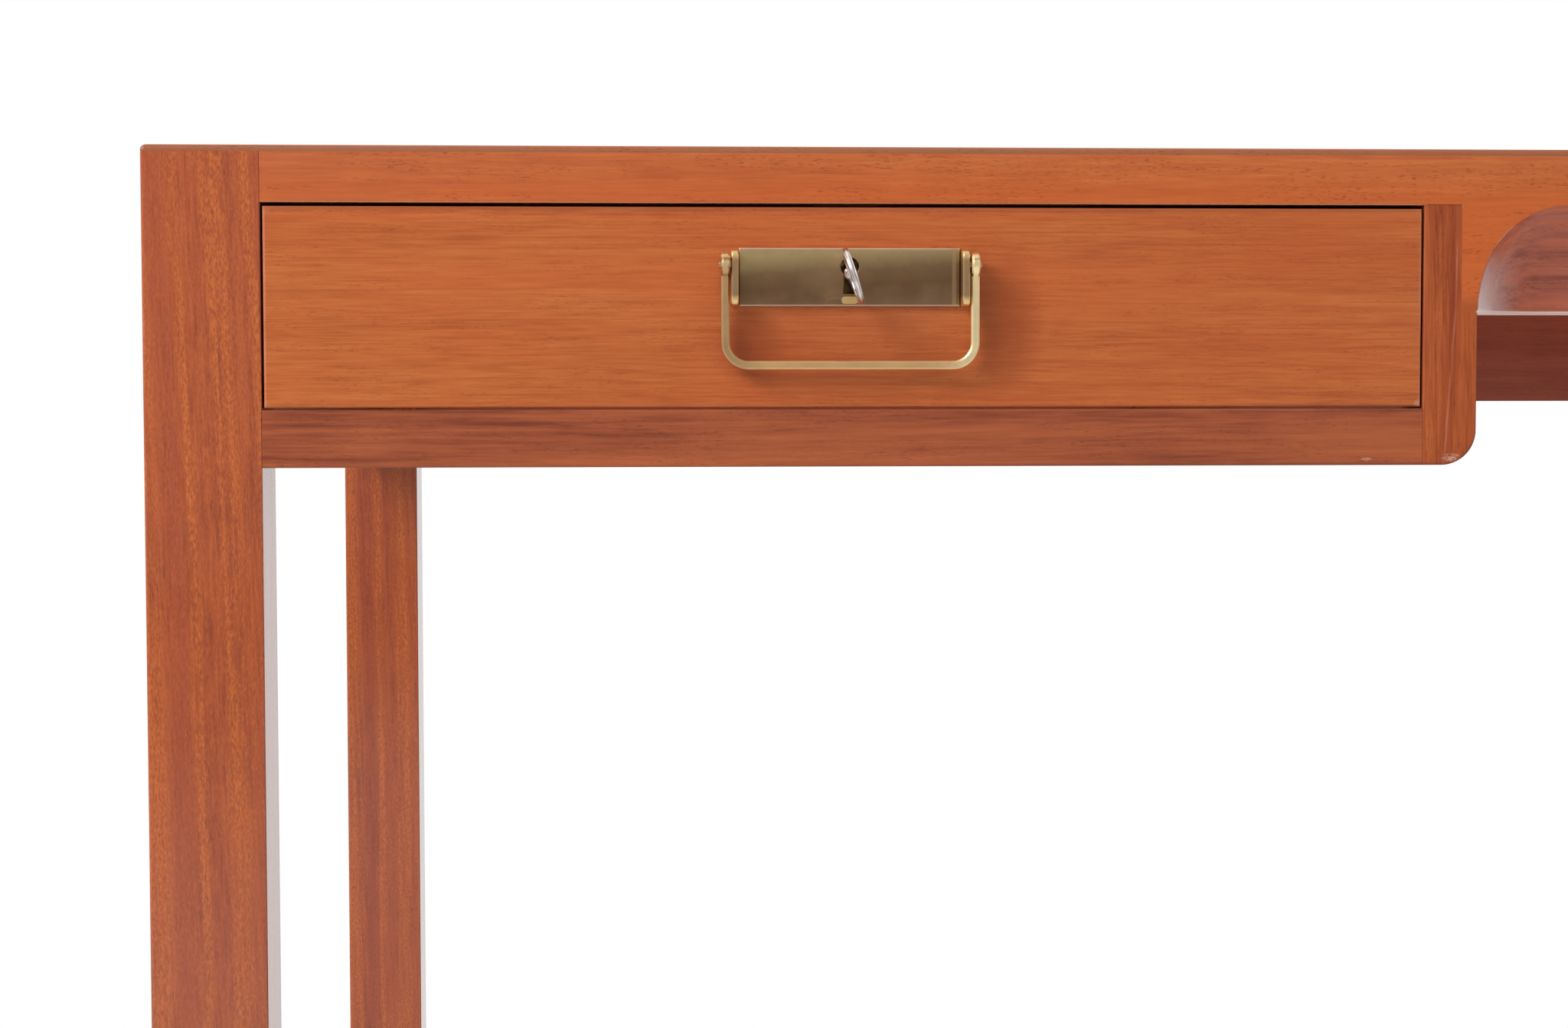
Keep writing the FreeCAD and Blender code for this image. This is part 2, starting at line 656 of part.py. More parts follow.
def make_runners(side, way):
    """Strips in the case sides that the grooved drawer sides hang on."""
    tip = "(drawer_front_width / 2 - runner_reach)"
    level = f"({DRAWER_FLOOR} + runner_lift)"
    outer_root = f"({HALF_WIDTH} - outer_side_inset - outer_side_thickness + runner_housing)"
    inner_root = "(kneehole_width / 2 + inner_side_thickness - runner_housing)"
    strips = {
        "outer": (f"({DRAWER_CENTRE} + {tip})", outer_root, "desk_depth - leg_depth"),
        "inner": (inner_root, f"({DRAWER_CENTRE} - {tip})", "desk_depth - back_rail_thickness"),
    }
    for name, (near, far, end) in strips.items():
        strip = keep(doc.addObject("Part::Box", f"{side}_{name}_runner"), f"{side}_{name}_runner")
        bind(strip, Length=f"{far} - {near}", Width=f"{end} - runner_setback",
             Height="runner_height")
        left = f"-{far}" if way == "-" else near
        place(strip, left, f"{FRONT} + runner_setback", level)


# Drawer boxes

def tail_levels(low, high, count):
    """Middle heights of evenly spaced tails between two levels."""
    return [f"({low} + ({high} - {low}) * {2 * index + 1} / {2 * count})" for index in range(count)]


def draw_tails(sketch, root, tip, levels):
    """Tails that are narrow at the root and wide at the tip."""
    for level in levels:
        draw(sketch, [
            (root, f"{level} - tail_root / 2"), (tip, f"{level} - tail_root / 2 - tail_flare"),
            (tip, f"{level} + tail_root / 2 + tail_flare"), (root, f"{level} + tail_root / 2"),
        ])


FRONT_TAIL_LEVELS = tail_levels("drawer_side_lift", SIDE_TOP, FRONT_TAILS)
BACK_TAIL_LEVELS = tail_levels(PANEL_TOP, SIDE_TOP, BACK_TAILS)
TAIL_TIP = "(drawer_front_thickness - front_tail_length)"
BACK_FACE = "(drawer_length - drawer_back_thickness)"
GROOVE_LOW = "(runner_lift - 2 * runner_clearance)"
GROOVE_HIGH = f"({RUNNER_TOP} + runner_clearance)"
GROOVE_DEPTH = "(runner_reach + 2 * runner_clearance)"


def drawer_piece(side, way, name):
    """Body at the lower front middle of a drawer's front."""
    return place(new_body(f"{side}_{name}"), f"{way}{DRAWER_CENTRE}", FRONT, DRAWER_FLOOR)


def draw_keyhole(sketch, room):
    """Round eye over a slot that widens to its foot."""
    eye = f"(keyhole_radius + {room})"
    throat = f"(keyhole_throat / 2 + {room})"
    foot = f"(keyhole_foot / 2 + {room})"
    bottom = f"({KEY_LEVEL} - keyhole_length - {room})"
    neck = f"({KEY_LEVEL} - sqrt({eye} ^ 2 - {throat} ^ 2))"
    crown = f"({KEY_LEVEL} + {eye})"
    draw(sketch, [
        ("0", crown), (f"-{throat}", neck), (f"-{foot}", bottom), (foot, bottom), (throat, neck),
    ], {0: ("0", KEY_LEVEL, eye), 4: ("0", KEY_LEVEL, eye)})


def make_drawer_front(side, way):
    body = drawer_piece(side, way, "drawer_front")
    half = "(drawer_front_width / 2)"
    face = sketch_on(body, "XZ_Plane", "face")
    draw_box(face, f"-{half}", "0", half, "drawer_front_height")
    pad(body, face, "drawer_front_thickness", reverse=True)
    soften(body, "drawer_front_arris", lambda edge: lies_at(edge, "y", "0"))

    for turn in ("-", ""):
        sockets = sketch_on(body, "YZ_Plane", f"sockets{turn and '_a'}",
                            f"{turn}({half} - drawer_side_thickness)")
        draw_tails(sockets, "drawer_front_thickness", TAIL_TIP, FRONT_TAIL_LEVELS)
        pocket(body, sockets, "drawer_side_thickness + overrun", reverse=(turn == ""))

    groove = sketch_on(body, "XZ_Plane", "bottom_groove",
                       "bottom_groove_depth - drawer_front_thickness")
    groove_half = f"({half} - drawer_side_thickness + bottom_groove_depth)"
    draw_box(groove, f"-{groove_half}", PANEL_BOTTOM, groove_half, PANEL_TOP)
    pocket(body, groove, "bottom_groove_depth + overrun")

    lock = sketch_on(body, "XZ_Plane", "lock_recess", f"-{LOCK_FRONT}")
    draw_box(lock, "-lock_width / 2", LOCK_FLOOR, "lock_width / 2", "drawer_front_height + overrun")
    pocket(body, lock, "lock_depth + overrun")
    selvedge = sketch_on(body, "XY_Plane", "selvedge_recess", SELVEDGE_BOTTOM)
    draw_box(selvedge, "-selvedge_length / 2", "drawer_front_thickness - selvedge_width",
             "selvedge_length / 2", "drawer_front_thickness + overrun")
    pocket(body, selvedge, "selvedge_thickness + overrun", reverse=True)
    pilots = sketch_on(body, "XY_Plane", "lock_screw_holes", SELVEDGE_BOTTOM)
    for turn in ("-", ""):
        draw_circle(pilots, f"{turn}lock_screw_spacing / 2",
                    "drawer_front_thickness - selvedge_width / 2", "screw_radius + screw_clearance")
    pocket(body, pilots, "lock_screw_length")

    keyhole = sketch_on(body, "XZ_Plane", "keyhole", "overrun")
    draw_keyhole(keyhole, "keyhole_room")
    pocket(body, keyhole, f"{LOCK_FRONT} + 2 * overrun")

    studs = sketch_on(body, "XZ_Plane", "stud_holes", "overrun")
    for turn in ("-", ""):
        draw_circle(studs, f"{turn}({POST_INNER} + post_thickness / 2)", STUD_LEVEL,
                    "stud_radius + stud_clearance")
    pocket(body, studs, "drawer_front_thickness + 2 * overrun")
    spigots = sketch_on(body, "XZ_Plane", "spigot_holes", "overrun")
    for turn in ("-", ""):
        draw_circle(spigots, f"{turn}plate_spigot_spacing / 2", STUD_LEVEL,
                    "plate_spigot_radius + stud_clearance")
    pocket(body, spigots, "plate_spigot_length + mortise_slack + overrun")


def make_drawer_side(side, way, name, turn):
    """Dovetailed side with a groove for the runner outside and one for the bottom inside."""
    body = drawer_piece(side, way, f"drawer_side_{name}")
    outer = f"{turn}(drawer_front_width / 2)"
    inner = f"{turn}(drawer_front_width / 2 - drawer_side_thickness)"
    low_turn = turn == "-"
    board = sketch_on(body, "YZ_Plane", "board", inner)
    draw_box(board, "drawer_front_thickness", "drawer_side_lift", BACK_FACE, SIDE_TOP)
    pad(body, board, "drawer_side_thickness", reverse=low_turn)
    soften(body, "frame_arris", lambda edge: lies_at(edge, "z", SIDE_TOP) and runs_along(edge, "y"))
    tails = sketch_on(body, "YZ_Plane", "tails", inner)
    draw_tails(tails, "drawer_front_thickness", TAIL_TIP, FRONT_TAIL_LEVELS)
    draw_tails(tails, BACK_FACE, "drawer_length", BACK_TAIL_LEVELS)
    pad(body, tails, "drawer_side_thickness", reverse=low_turn)
    hang = sketch_on(body, "YZ_Plane", "runner_groove", f"{outer} - {turn}{GROOVE_DEPTH}")
    draw_box(hang, "runner_setback - runner_clearance", GROOVE_LOW,
             "drawer_length + overrun", GROOVE_HIGH)
    pocket(body, hang, f"{GROOVE_DEPTH} + overrun", reverse=not low_turn)
    panel = sketch_on(body, "YZ_Plane", "bottom_groove", f"{inner} + {turn}bottom_groove_depth")
    draw_box(panel, f"{TAIL_TIP} - overrun", PANEL_BOTTOM, "drawer_length + overrun", PANEL_TOP)
    pocket(body, panel, "bottom_groove_depth + overrun", reverse=low_turn)


def make_drawer_back(side, way):
    body = drawer_piece(side, way, "drawer_back")
    half = "(drawer_front_width / 2)"
    face = sketch_on(body, "XZ_Plane", "face", f"-{BACK_FACE}")
    draw_box(face, f"-{half}", PANEL_TOP, half, SIDE_TOP)
    pad(body, face, "drawer_back_thickness", reverse=True)
    for turn in ("-", ""):
        mark = turn and "_a"
        sockets = sketch_on(body, "YZ_Plane", f"sockets{mark}",
                            f"{turn}({half} - drawer_side_thickness)")
        draw_tails(sockets, BACK_FACE, "drawer_length", BACK_TAIL_LEVELS)
        pocket(body, sockets, "drawer_side_thickness + overrun", reverse=(turn == ""))
        hang = sketch_on(body, "YZ_Plane", f"runner_groove{mark}", f"{turn}({half} - {GROOVE_DEPTH})")
        draw_box(hang, f"{BACK_FACE} - overrun", GROOVE_LOW, "drawer_length + overrun", GROOVE_HIGH)
        pocket(body, hang, f"{GROOVE_DEPTH} + overrun", reverse=(turn == ""))
    pilots = sketch_on(body, "XY_Plane", "screw_holes", PANEL_TOP)
    draw_bottom_screws(pilots, "screw_radius + screw_clearance")
    pocket(body, pilots, "bottom_screw_length - bottom_thickness + mortise_slack", reverse=True)


def draw_bottom_screws(sketch, radius):
    for step in (-1, 0, 1):
        draw_circle(sketch, f"{step} * bottom_screw_spacing",
                    "drawer_length - drawer_back_thickness / 2", radius)


def make_drawer_bottom(side, way):
    body = drawer_piece(side, way, "drawer_bottom")
    half = "(drawer_front_width / 2 - drawer_side_thickness + bottom_groove_depth - bottom_slack)"
    plan = sketch_on(body, "XY_Plane", "plan", PANEL_BOTTOM)
    draw_box(plan, f"-{half}", "drawer_front_thickness - bottom_groove_depth + bottom_slack",
             half, "drawer_length")
    pad(body, plan, "bottom_thickness")
    holes = sketch_on(body, "XY_Plane", "screw_holes", PANEL_BOTTOM)
    draw_bottom_screws(holes, "screw_radius + screw_clearance")
    pocket(body, holes, "bottom_thickness + overrun", reverse=True)
    countersink(body, PANEL_BOTTOM)


def make_screw(name, length, x, y, z, points_up):
    """Countersunk screw whose head is flush with the level z."""
    shank = bind(doc.addObject("Part::Cylinder", f"{name}_shank"), Radius="screw_radius",
                 Height=length)
    head = bind(doc.addObject("Part::Cone", f"{name}_head"), Radius1="screw_head_radius",
                Radius2="screw_radius", Height=SCREW_HEAD)
    for piece in (shank, head):
        if not points_up:
            piece.Placement.Rotation = FreeCAD.Rotation(FreeCAD.Vector(1, 0, 0), HALF_TURN)
        place(piece, x, y, z)
    screw = doc.addObject("Part::Fuse", name)
    screw.Base = shank
    screw.Tool = head
    return screw


def group(label, pieces):
    bunch = keep(doc.addObject("Part::Compound", label), label)
    bunch.Links = pieces
    return bunch


def make_bottom_screws(side, way):
    screws = []
    for step in (-1, 0, 1):
        name = f"{side}_bottom_screw_{step + 2}"
        screws.append(make_screw(name, "bottom_screw_length",
                                 f"{way}{DRAWER_CENTRE} + {step} * bottom_screw_spacing",
                                 f"{FRONT} + drawer_length - drawer_back_thickness / 2",
                                 f"{DRAWER_FLOOR} + {PANEL_BOTTOM}", True))
    group(f"{side}_bottom_screws", screws)


# Pull

def make_pull_plate(side, way):
    body = drawer_piece(side, way, "pull_plate")
    face = sketch_on(body, "XZ_Plane", "face")
    draw_box(face, "-plate_width / 2", PLATE_BOTTOM, "plate_width / 2", PLATE_TOP)
    pad(body, face, "plate_thickness")
    soften(body, "plate_arris", lambda edge: lies_at(edge, "y", "-plate_thickness"))
    spigots = sketch_on(body, "XZ_Plane", "spigots")
    for turn in ("-", ""):
        draw_circle(spigots, f"{turn}plate_spigot_spacing / 2", STUD_LEVEL, "plate_spigot_radius")
    pad(body, spigots, "plate_spigot_length", reverse=True)
    keyhole = sketch_on(body, "XZ_Plane", "keyhole", "plate_thickness + overrun")
    draw_keyhole(keyhole, "0")
    pocket(body, keyhole, "plate_thickness + 2 * overrun")


def make_pull_post(side, way, name, turn):
    """Ear with a rounded nose, a bore for the pivot pin and a stud through the drawer front."""
    body = drawer_piece(side, way, f"pull_post_{name}")
    inner = f"{turn}{POST_INNER}"
    low_turn = turn == "-"
    top = f"({PLATE_TOP} - post_drop)"
    bottom = f"({top} - post_height)"
    nose = "(post_nose_radius - post_depth)"
    face = sketch_on(body, "YZ_Plane", "face", inner)
    draw(face, [
        ("0", bottom), ("0", top), (nose, top), ("-post_depth", f"{top} - post_nose_radius"),
        ("-post_depth", f"{bottom} + post_nose_radius"), (nose, bottom),
    ], {2: (nose, f"{top} - post_nose_radius", "post_nose_radius"),
        4: (nose, f"{bottom} + post_nose_radius", "post_nose_radius")})
    pad(body, face, "post_thickness", reverse=low_turn)
    bevel(body, "plate_arris", lambda edge: not lies_at(edge, "y", "0")
          and (lies_at(edge, "x", inner) or lies_at(edge, "x", f"{turn}{POST_OUTER}")))
    stud = sketch_on(body, "XZ_Plane", "stud")
    draw_circle(stud, f"{turn}({POST_INNER} + post_thickness / 2)", STUD_LEVEL, "stud_radius")
    pad(body, stud, "drawer_front_thickness + stud_spare", reverse=True)
    bore = sketch_on(body, "YZ_Plane", "bore", f"{inner} - {turn}overrun")
    draw_circle(bore, "-pivot_stand_off", PIVOT_LEVEL, "pin_radius + pin_hold_clearance")
    pocket(body, bore, "post_thickness + 2 * overrun", reverse=not low_turn)


def make_pull_pins(side, way):
    pins = []
    length = f"({ARM_OUTER} + pin_spare - {POST_INNER})"
    for name, turn in (("a", "-"), ("b", "")):
        pin = bind(doc.addObject("Part::Cylinder", f"{side}_pull_pin_{name}"), Radius="pin_radius",
                   Height=length)
        pin.Placement.Rotation = FreeCAD.Rotation(FreeCAD.Vector(0, 1, 0), QUARTER_TURN)
        start = f"-{POST_INNER} - {length}" if turn == "-" else POST_INNER
        place(pin, f"{way}{DRAWER_CENTRE} + {start}", f"{FRONT} - pivot_stand_off",
              f"{DRAWER_FLOOR} + {PIVOT_LEVEL}")
        pins.append(pin)
    group(f"{side}_pull_pins", pins)


def make_pull_nuts(side, way):
    nuts = []
    for name, turn in (("a", "-"), ("b", "")):
        outer = bind(doc.addObject("Part::Prism", f"{side}_pull_nut_{name}_outer"),
                     Circumradius="nut_radius", Height="nut_thickness")
        outer.Polygon = NUT_SIDES
        bore = bind(doc.addObject("Part::Cylinder", f"{side}_pull_nut_{name}_bore"),
                    Radius="stud_radius + screw_clearance", Height="nut_thickness + 2 * overrun")
        x = f"{way}{DRAWER_CENTRE} + {turn}({POST_INNER} + post_thickness / 2)"
        z = f"{DRAWER_FLOOR} + {STUD_LEVEL}"
        for piece, ahead in ((outer, "0"), (bore, "overrun")):
            piece.Placement.Rotation = FreeCAD.Rotation(FreeCAD.Vector(1, 0, 0), -QUARTER_TURN)
            place(piece, x, f"{FRONT} + drawer_front_thickness - {ahead}", z)
        nut = doc.addObject("Part::Cut", f"{side}_pull_nut_{name}")
        nut.Base = outer
        nut.Tool = bore
        nuts.append(nut)
    group(f"{side}_pull_nuts", nuts)


def make_bail(side, way):
    """Bent bar with round heads that hangs from the pins."""
    body = place(new_body(f"{side}_bail"), f"{way}{DRAWER_CENTRE}", f"({FRONT} - pivot_stand_off)",
                 f"({DRAWER_FLOOR} + {PIVOT_LEVEL})")
    bend = "bail_bend_radius"
    inner_bend = "(bail_bend_radius - bail_bar)"
    turn_x = f"({ARM_OUTER} - bail_bend_radius)"
    turn_z = "(bail_bend_radius - bail_drop)"
    face = sketch_on(body, "XZ_Plane", "face")
    draw(face, [
        (f"-{ARM_OUTER}", "0"), (f"-{ARM_OUTER}", turn_z), (f"-{turn_x}", "-bail_drop"),
        (turn_x, "-bail_drop"), (ARM_OUTER, turn_z), (ARM_OUTER, "0"),
        (ARM_INNER, "0"), (ARM_INNER, turn_z), (turn_x, "bail_bar - bail_drop"),
        (f"-{turn_x}", "bail_bar - bail_drop"), (f"-{ARM_INNER}", turn_z), (f"-{ARM_INNER}", "0"),
    ], {1: (f"-{turn_x}", turn_z, bend), 3: (turn_x, turn_z, bend),
        7: (turn_x, turn_z, inner_bend), 9: (f"-{turn_x}", turn_z, inner_bend)})
    pad(body, face, "bail_depth", both_ways=True)
    bevel(body, "bail_arris", lambda edge: not runs_along(edge, "y")
          and not lies_at(edge, "z", "0"))
    rim = "(bail_head_radius - bail_arris)"
    head = sketch_on(body, "XZ_Plane", "heads")
    for turn in ("-", ""):
        near = f"{turn}{ARM_INNER}"
        far = f"{turn}{ARM_OUTER}"
        near_rim = f"{turn}({ARM_INNER} + bail_arris)"
        far_rim = f"{turn}({ARM_OUTER} - bail_arris)"
        draw(head, [
            (near, "0"), (far, "0"), (far, rim), (far_rim, "bail_head_radius"),
            (near_rim, "bail_head_radius"), (near, rim),
        ])
    turned = body.newObject("PartDesign::Revolution", f"{body.Name}_heads_turned")
    turned.Profile = head
    turned.ReferenceAxis = (head, ["H_Axis"])
    turned.Angle = FULL_TURN
    bores = sketch_on(body, "YZ_Plane", "bores")
    draw_circle(bores, "0", "0", "pin_radius + pin_run_clearance")
    pocket(body, bores, f"2 * ({ARM_OUTER} + overrun)", both_ways=True)


# Lock and key

def make_lock_case(side, way):
    """Open-fronted case let into the back of the drawer front, under its selvedge."""
    body = drawer_piece(side, way, "lock_case")
    box = sketch_on(body, "XZ_Plane", "box", f"-{LOCK_FRONT}")
    draw_box(box, "-lock_width / 2", LOCK_FLOOR, "lock_width / 2", SELVEDGE_BOTTOM)
    pad(body, box, "lock_depth", reverse=True)
    selvedge = sketch_on(body, "XY_Plane", "selvedge", SELVEDGE_BOTTOM)
    draw_box(selvedge, "-selvedge_length / 2", "drawer_front_thickness - selvedge_width",
             "selvedge_length / 2", "drawer_front_thickness")
    pad(body, selvedge, "selvedge_thickness")
    room = "(lock_width / 2 - lock_wall)"
    hollow = sketch_on(body, "XZ_Plane", "hollow", "lock_wall - drawer_front_thickness")
    draw_box(hollow, f"-{room}", f"{LOCK_FLOOR} + lock_wall", room, SELVEDGE_BOTTOM)
    pocket(body, hollow, "lock_depth - lock_wall + overrun", reverse=True)
    slot = sketch_on(body, "XY_Plane", "bolt_slot", SELVEDGE_BOTTOM)
    half = "(bolt_width / 2 + bolt_clearance)"
    draw_box(slot, f"-{half}", f"{BOLT_FRONT} - bolt_clearance", half,
             f"{BOLT_FRONT} + bolt_thickness + bolt_clearance")
    pocket(body, slot, "selvedge_thickness + overrun", reverse=True)
    holes = sketch_on(body, "XY_Plane", "screw_holes", SELVEDGE_BOTTOM)
    for turn in ("-", ""):
        draw_circle(holes, f"{turn}lock_screw_spacing / 2",
                    "drawer_front_thickness - selvedge_width / 2", "screw_radius + screw_clearance")
    pocket(body, holes, "selvedge_thickness + overrun", reverse=True)
    countersink(body, "drawer_front_height")


def make_lock_screws(side, way):
    screws = []
    for index, turn in enumerate(("-", "")):
        screws.append(make_screw(f"{side}_lock_screw_{index + 1}",
                                 "lock_screw_length",
                                 f"{way}{DRAWER_CENTRE} + {turn}lock_screw_spacing / 2",
                                 f"{FRONT} + drawer_front_thickness - selvedge_width / 2",
                                 f"{DRAWER_FLOOR} + drawer_front_height", False))
    group(f"{side}_lock_screws", screws)


def make_lock_bolt(side, way):
    """Plate with a window that the key's bit turns in, and a head that rises from the case."""
    body = drawer_piece(side, way, "lock_bolt")
    face = sketch_on(body, "XZ_Plane", "face", f"-{BOLT_FRONT}")
    wide = "(bolt_plate_width / 2)"
    shoulder = f"({SELVEDGE_BOTTOM} - bolt_travel - bolt_clearance)"
    window_low = f"({KEY_LEVEL} - bolt_window_bottom)"
    foot = f"({window_low} - bolt_foot)"
    half = "(bolt_width / 2)"
    crown = "(drawer_front_height - bolt_clearance)"
    draw(face, [
        (f"-{wide}", foot), (wide, foot), (wide, shoulder), (half, shoulder),
        (half, crown), (f"-{half}", crown), (f"-{half}", shoulder), (f"-{wide}", shoulder),
    ])
    pad(body, face, "bolt_thickness", reverse=True)
    window = sketch_on(body, "XZ_Plane", "window", f"overrun - {BOLT_FRONT}")
    draw_box(window, "-bolt_window_width / 2", window_low, "bolt_window_width / 2",
             f"{KEY_LEVEL} + bolt_window_top")
    pocket(body, window, "bolt_thickness + 2 * overrun")


def make_key(side, way):
    """Key with a ring bow; it hangs in the slack of the keyhole, a little turned."""
    body = new_body(f"{side}_key")
    bow_distance = "((key_reach - key_bow_radius) / cos(key_droop * 1 deg))"
    bow_foot = f"({bow_distance} - key_bow_radius)"
    bow = sketch_on(body, "YZ_Plane", "bow")
    draw_circle(bow, f"-{bow_distance}", "0", "key_bow_radius")
    draw_circle(bow, f"-{bow_distance}", "0", "key_bow_radius - key_bow_rim")
    pad(body, bow, "key_bow_thickness", both_ways=True)
    bevel(body, "key_arris", lambda edge: True)
    shank = sketch_on(body, "XZ_Plane", "shank", "-key_tip_depth")
    draw_circle(shank, "0", "0", "key_shank_radius")
    pad(body, shank, f"key_tip_depth + {bow_foot} + key_bow_rim / 2")
    collar = sketch_on(body, "XZ_Plane", "collar", f"{bow_foot} - key_collar_length")
    draw_circle(collar, "0", "0", "key_collar_radius")
    pad(body, collar, "key_collar_length")
    bit = sketch_on(body, "YZ_Plane", "bit")
    draw_box(bit, "key_tip_depth - key_bit_width", "-key_bit_length", "key_tip_depth", "0")
    pad(body, bit, "key_bit_thickness", both_ways=True)
    droop = FreeCAD.Rotation(FreeCAD.Vector(1, 0, 0), number("key_droop"))
    lean = FreeCAD.Rotation(FreeCAD.Vector(0, 1, 0), -number("key_lean"))
    body.Placement.Rotation = droop * lean
    place(body, f"{way}{DRAWER_CENTRE}", FRONT, f"{DRAWER_FLOOR} + {KEY_LEVEL} - key_sag")


def build():
    make_top_sheet()
    make_top_core()
    make_front_top_rail()
    for side, way in (("left", "-"), ("right", "")):
        make_leg(f"front_{side}_leg", way, False)
        make_leg(f"rear_{side}_leg", way, True)
        make_lower_rail(side, way)
        make_stile(side, way)
        make_outer_side(side, way)
        make_inner_side(side, way)
        make_runners(side, way)
    make_back_rail()
    for side, way in (("left", "-"), ("right", "")):
        make_drawer_front(side, way)
        make_drawer_side(side, way, "a", "-")
        make_drawer_side(side, way, "b", "")
        make_drawer_back(side, way)
        make_drawer_bottom(side, way)
        make_bottom_screws(side, way)
        make_pull_plate(side, way)
        make_pull_post(side, way, "a", "-")
        make_pull_post(side, way, "b", "")
        make_pull_pins(side, way)
        make_pull_nuts(side, way)
        make_bail(side, way)
        make_lock_case(side, way)
        make_lock_screws(side, way)
        make_lock_bolt(side, way)
        make_key(side, way)
    doc.recompute()


def check_and_write():
    """Stop on any failed object, then write one file for each sub-part."""
    for thing in doc.Objects:
        if "Invalid" in thing.State or "Error" in thing.State:
            raise RuntimeError(f"{thing.Label} failed: {thing.State}")
    for node in nodes:
        if node.Shape.isNull() or not node.Shape.isValid():
            raise RuntimeError(f"{node.Label} has no valid shape")
    os.makedirs("parts", exist_ok=True)
    for node in nodes:
        node.Shape.exportStep(f"parts/{node.Label}.step")


build()
check_and_write()
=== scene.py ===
import math

import bpy
from mathutils import Matrix, Vector


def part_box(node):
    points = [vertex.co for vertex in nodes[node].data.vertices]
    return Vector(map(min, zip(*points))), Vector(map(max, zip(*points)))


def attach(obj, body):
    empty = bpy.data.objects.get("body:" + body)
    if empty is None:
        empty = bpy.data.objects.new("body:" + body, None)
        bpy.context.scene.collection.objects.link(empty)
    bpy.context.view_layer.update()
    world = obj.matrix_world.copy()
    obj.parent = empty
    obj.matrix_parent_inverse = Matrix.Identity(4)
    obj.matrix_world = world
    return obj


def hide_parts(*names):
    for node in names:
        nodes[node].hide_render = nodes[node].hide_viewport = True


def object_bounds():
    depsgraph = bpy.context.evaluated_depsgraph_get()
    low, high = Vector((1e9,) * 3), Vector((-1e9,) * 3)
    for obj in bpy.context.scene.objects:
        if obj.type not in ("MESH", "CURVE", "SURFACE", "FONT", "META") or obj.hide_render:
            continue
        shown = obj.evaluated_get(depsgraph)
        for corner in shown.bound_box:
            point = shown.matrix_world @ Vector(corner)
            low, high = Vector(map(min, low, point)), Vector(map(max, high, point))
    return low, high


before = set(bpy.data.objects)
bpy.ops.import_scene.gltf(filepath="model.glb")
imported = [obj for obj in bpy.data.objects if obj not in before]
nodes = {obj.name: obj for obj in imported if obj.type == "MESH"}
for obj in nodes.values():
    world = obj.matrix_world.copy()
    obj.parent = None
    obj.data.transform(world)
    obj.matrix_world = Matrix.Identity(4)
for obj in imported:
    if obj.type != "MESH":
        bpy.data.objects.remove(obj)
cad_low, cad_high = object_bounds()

MM = 0.001
SIDES = {"left": -1, "right": 1}

# Places that several finishes share: heights, and distances from the middle of the desk
KNEEHOLE_SIDE = 283.25 * MM
STILE_WIDTH = 23.45 * MM
STILE_CORNER = 15 * MM
DRAWER_OPENING = (306 * MM, 801 * MM)
TOP_RAIL_UNDERSIDE = (705.2 * MM, 706.3 * MM)
LEG_JOINT = (796 * MM, 805 * MM)
LOWER_RAIL_TOP = 619.4 * MM
PULL_LEVEL = 650 * MM

# Turn that lays a plank's length along each axis of the desk
GRAIN_ALONG = {
    "x": (0.0, 0.0, 0.0),
    "y": (0.0, 0.0, -math.pi / 2),
    "z": (0.0, math.pi / 2, 0.0),
}


def tint(red, green, blue):
    """A shade given as 0 to 255 for each colour, as linear light."""
    shade = []
    for step in (red, green, blue):
        share = step / 255
        shade.append(share / 12.92 if share <= 0.04045 else ((share + 0.055) / 1.055) ** 2.4)
    return (*shade, 1.0)


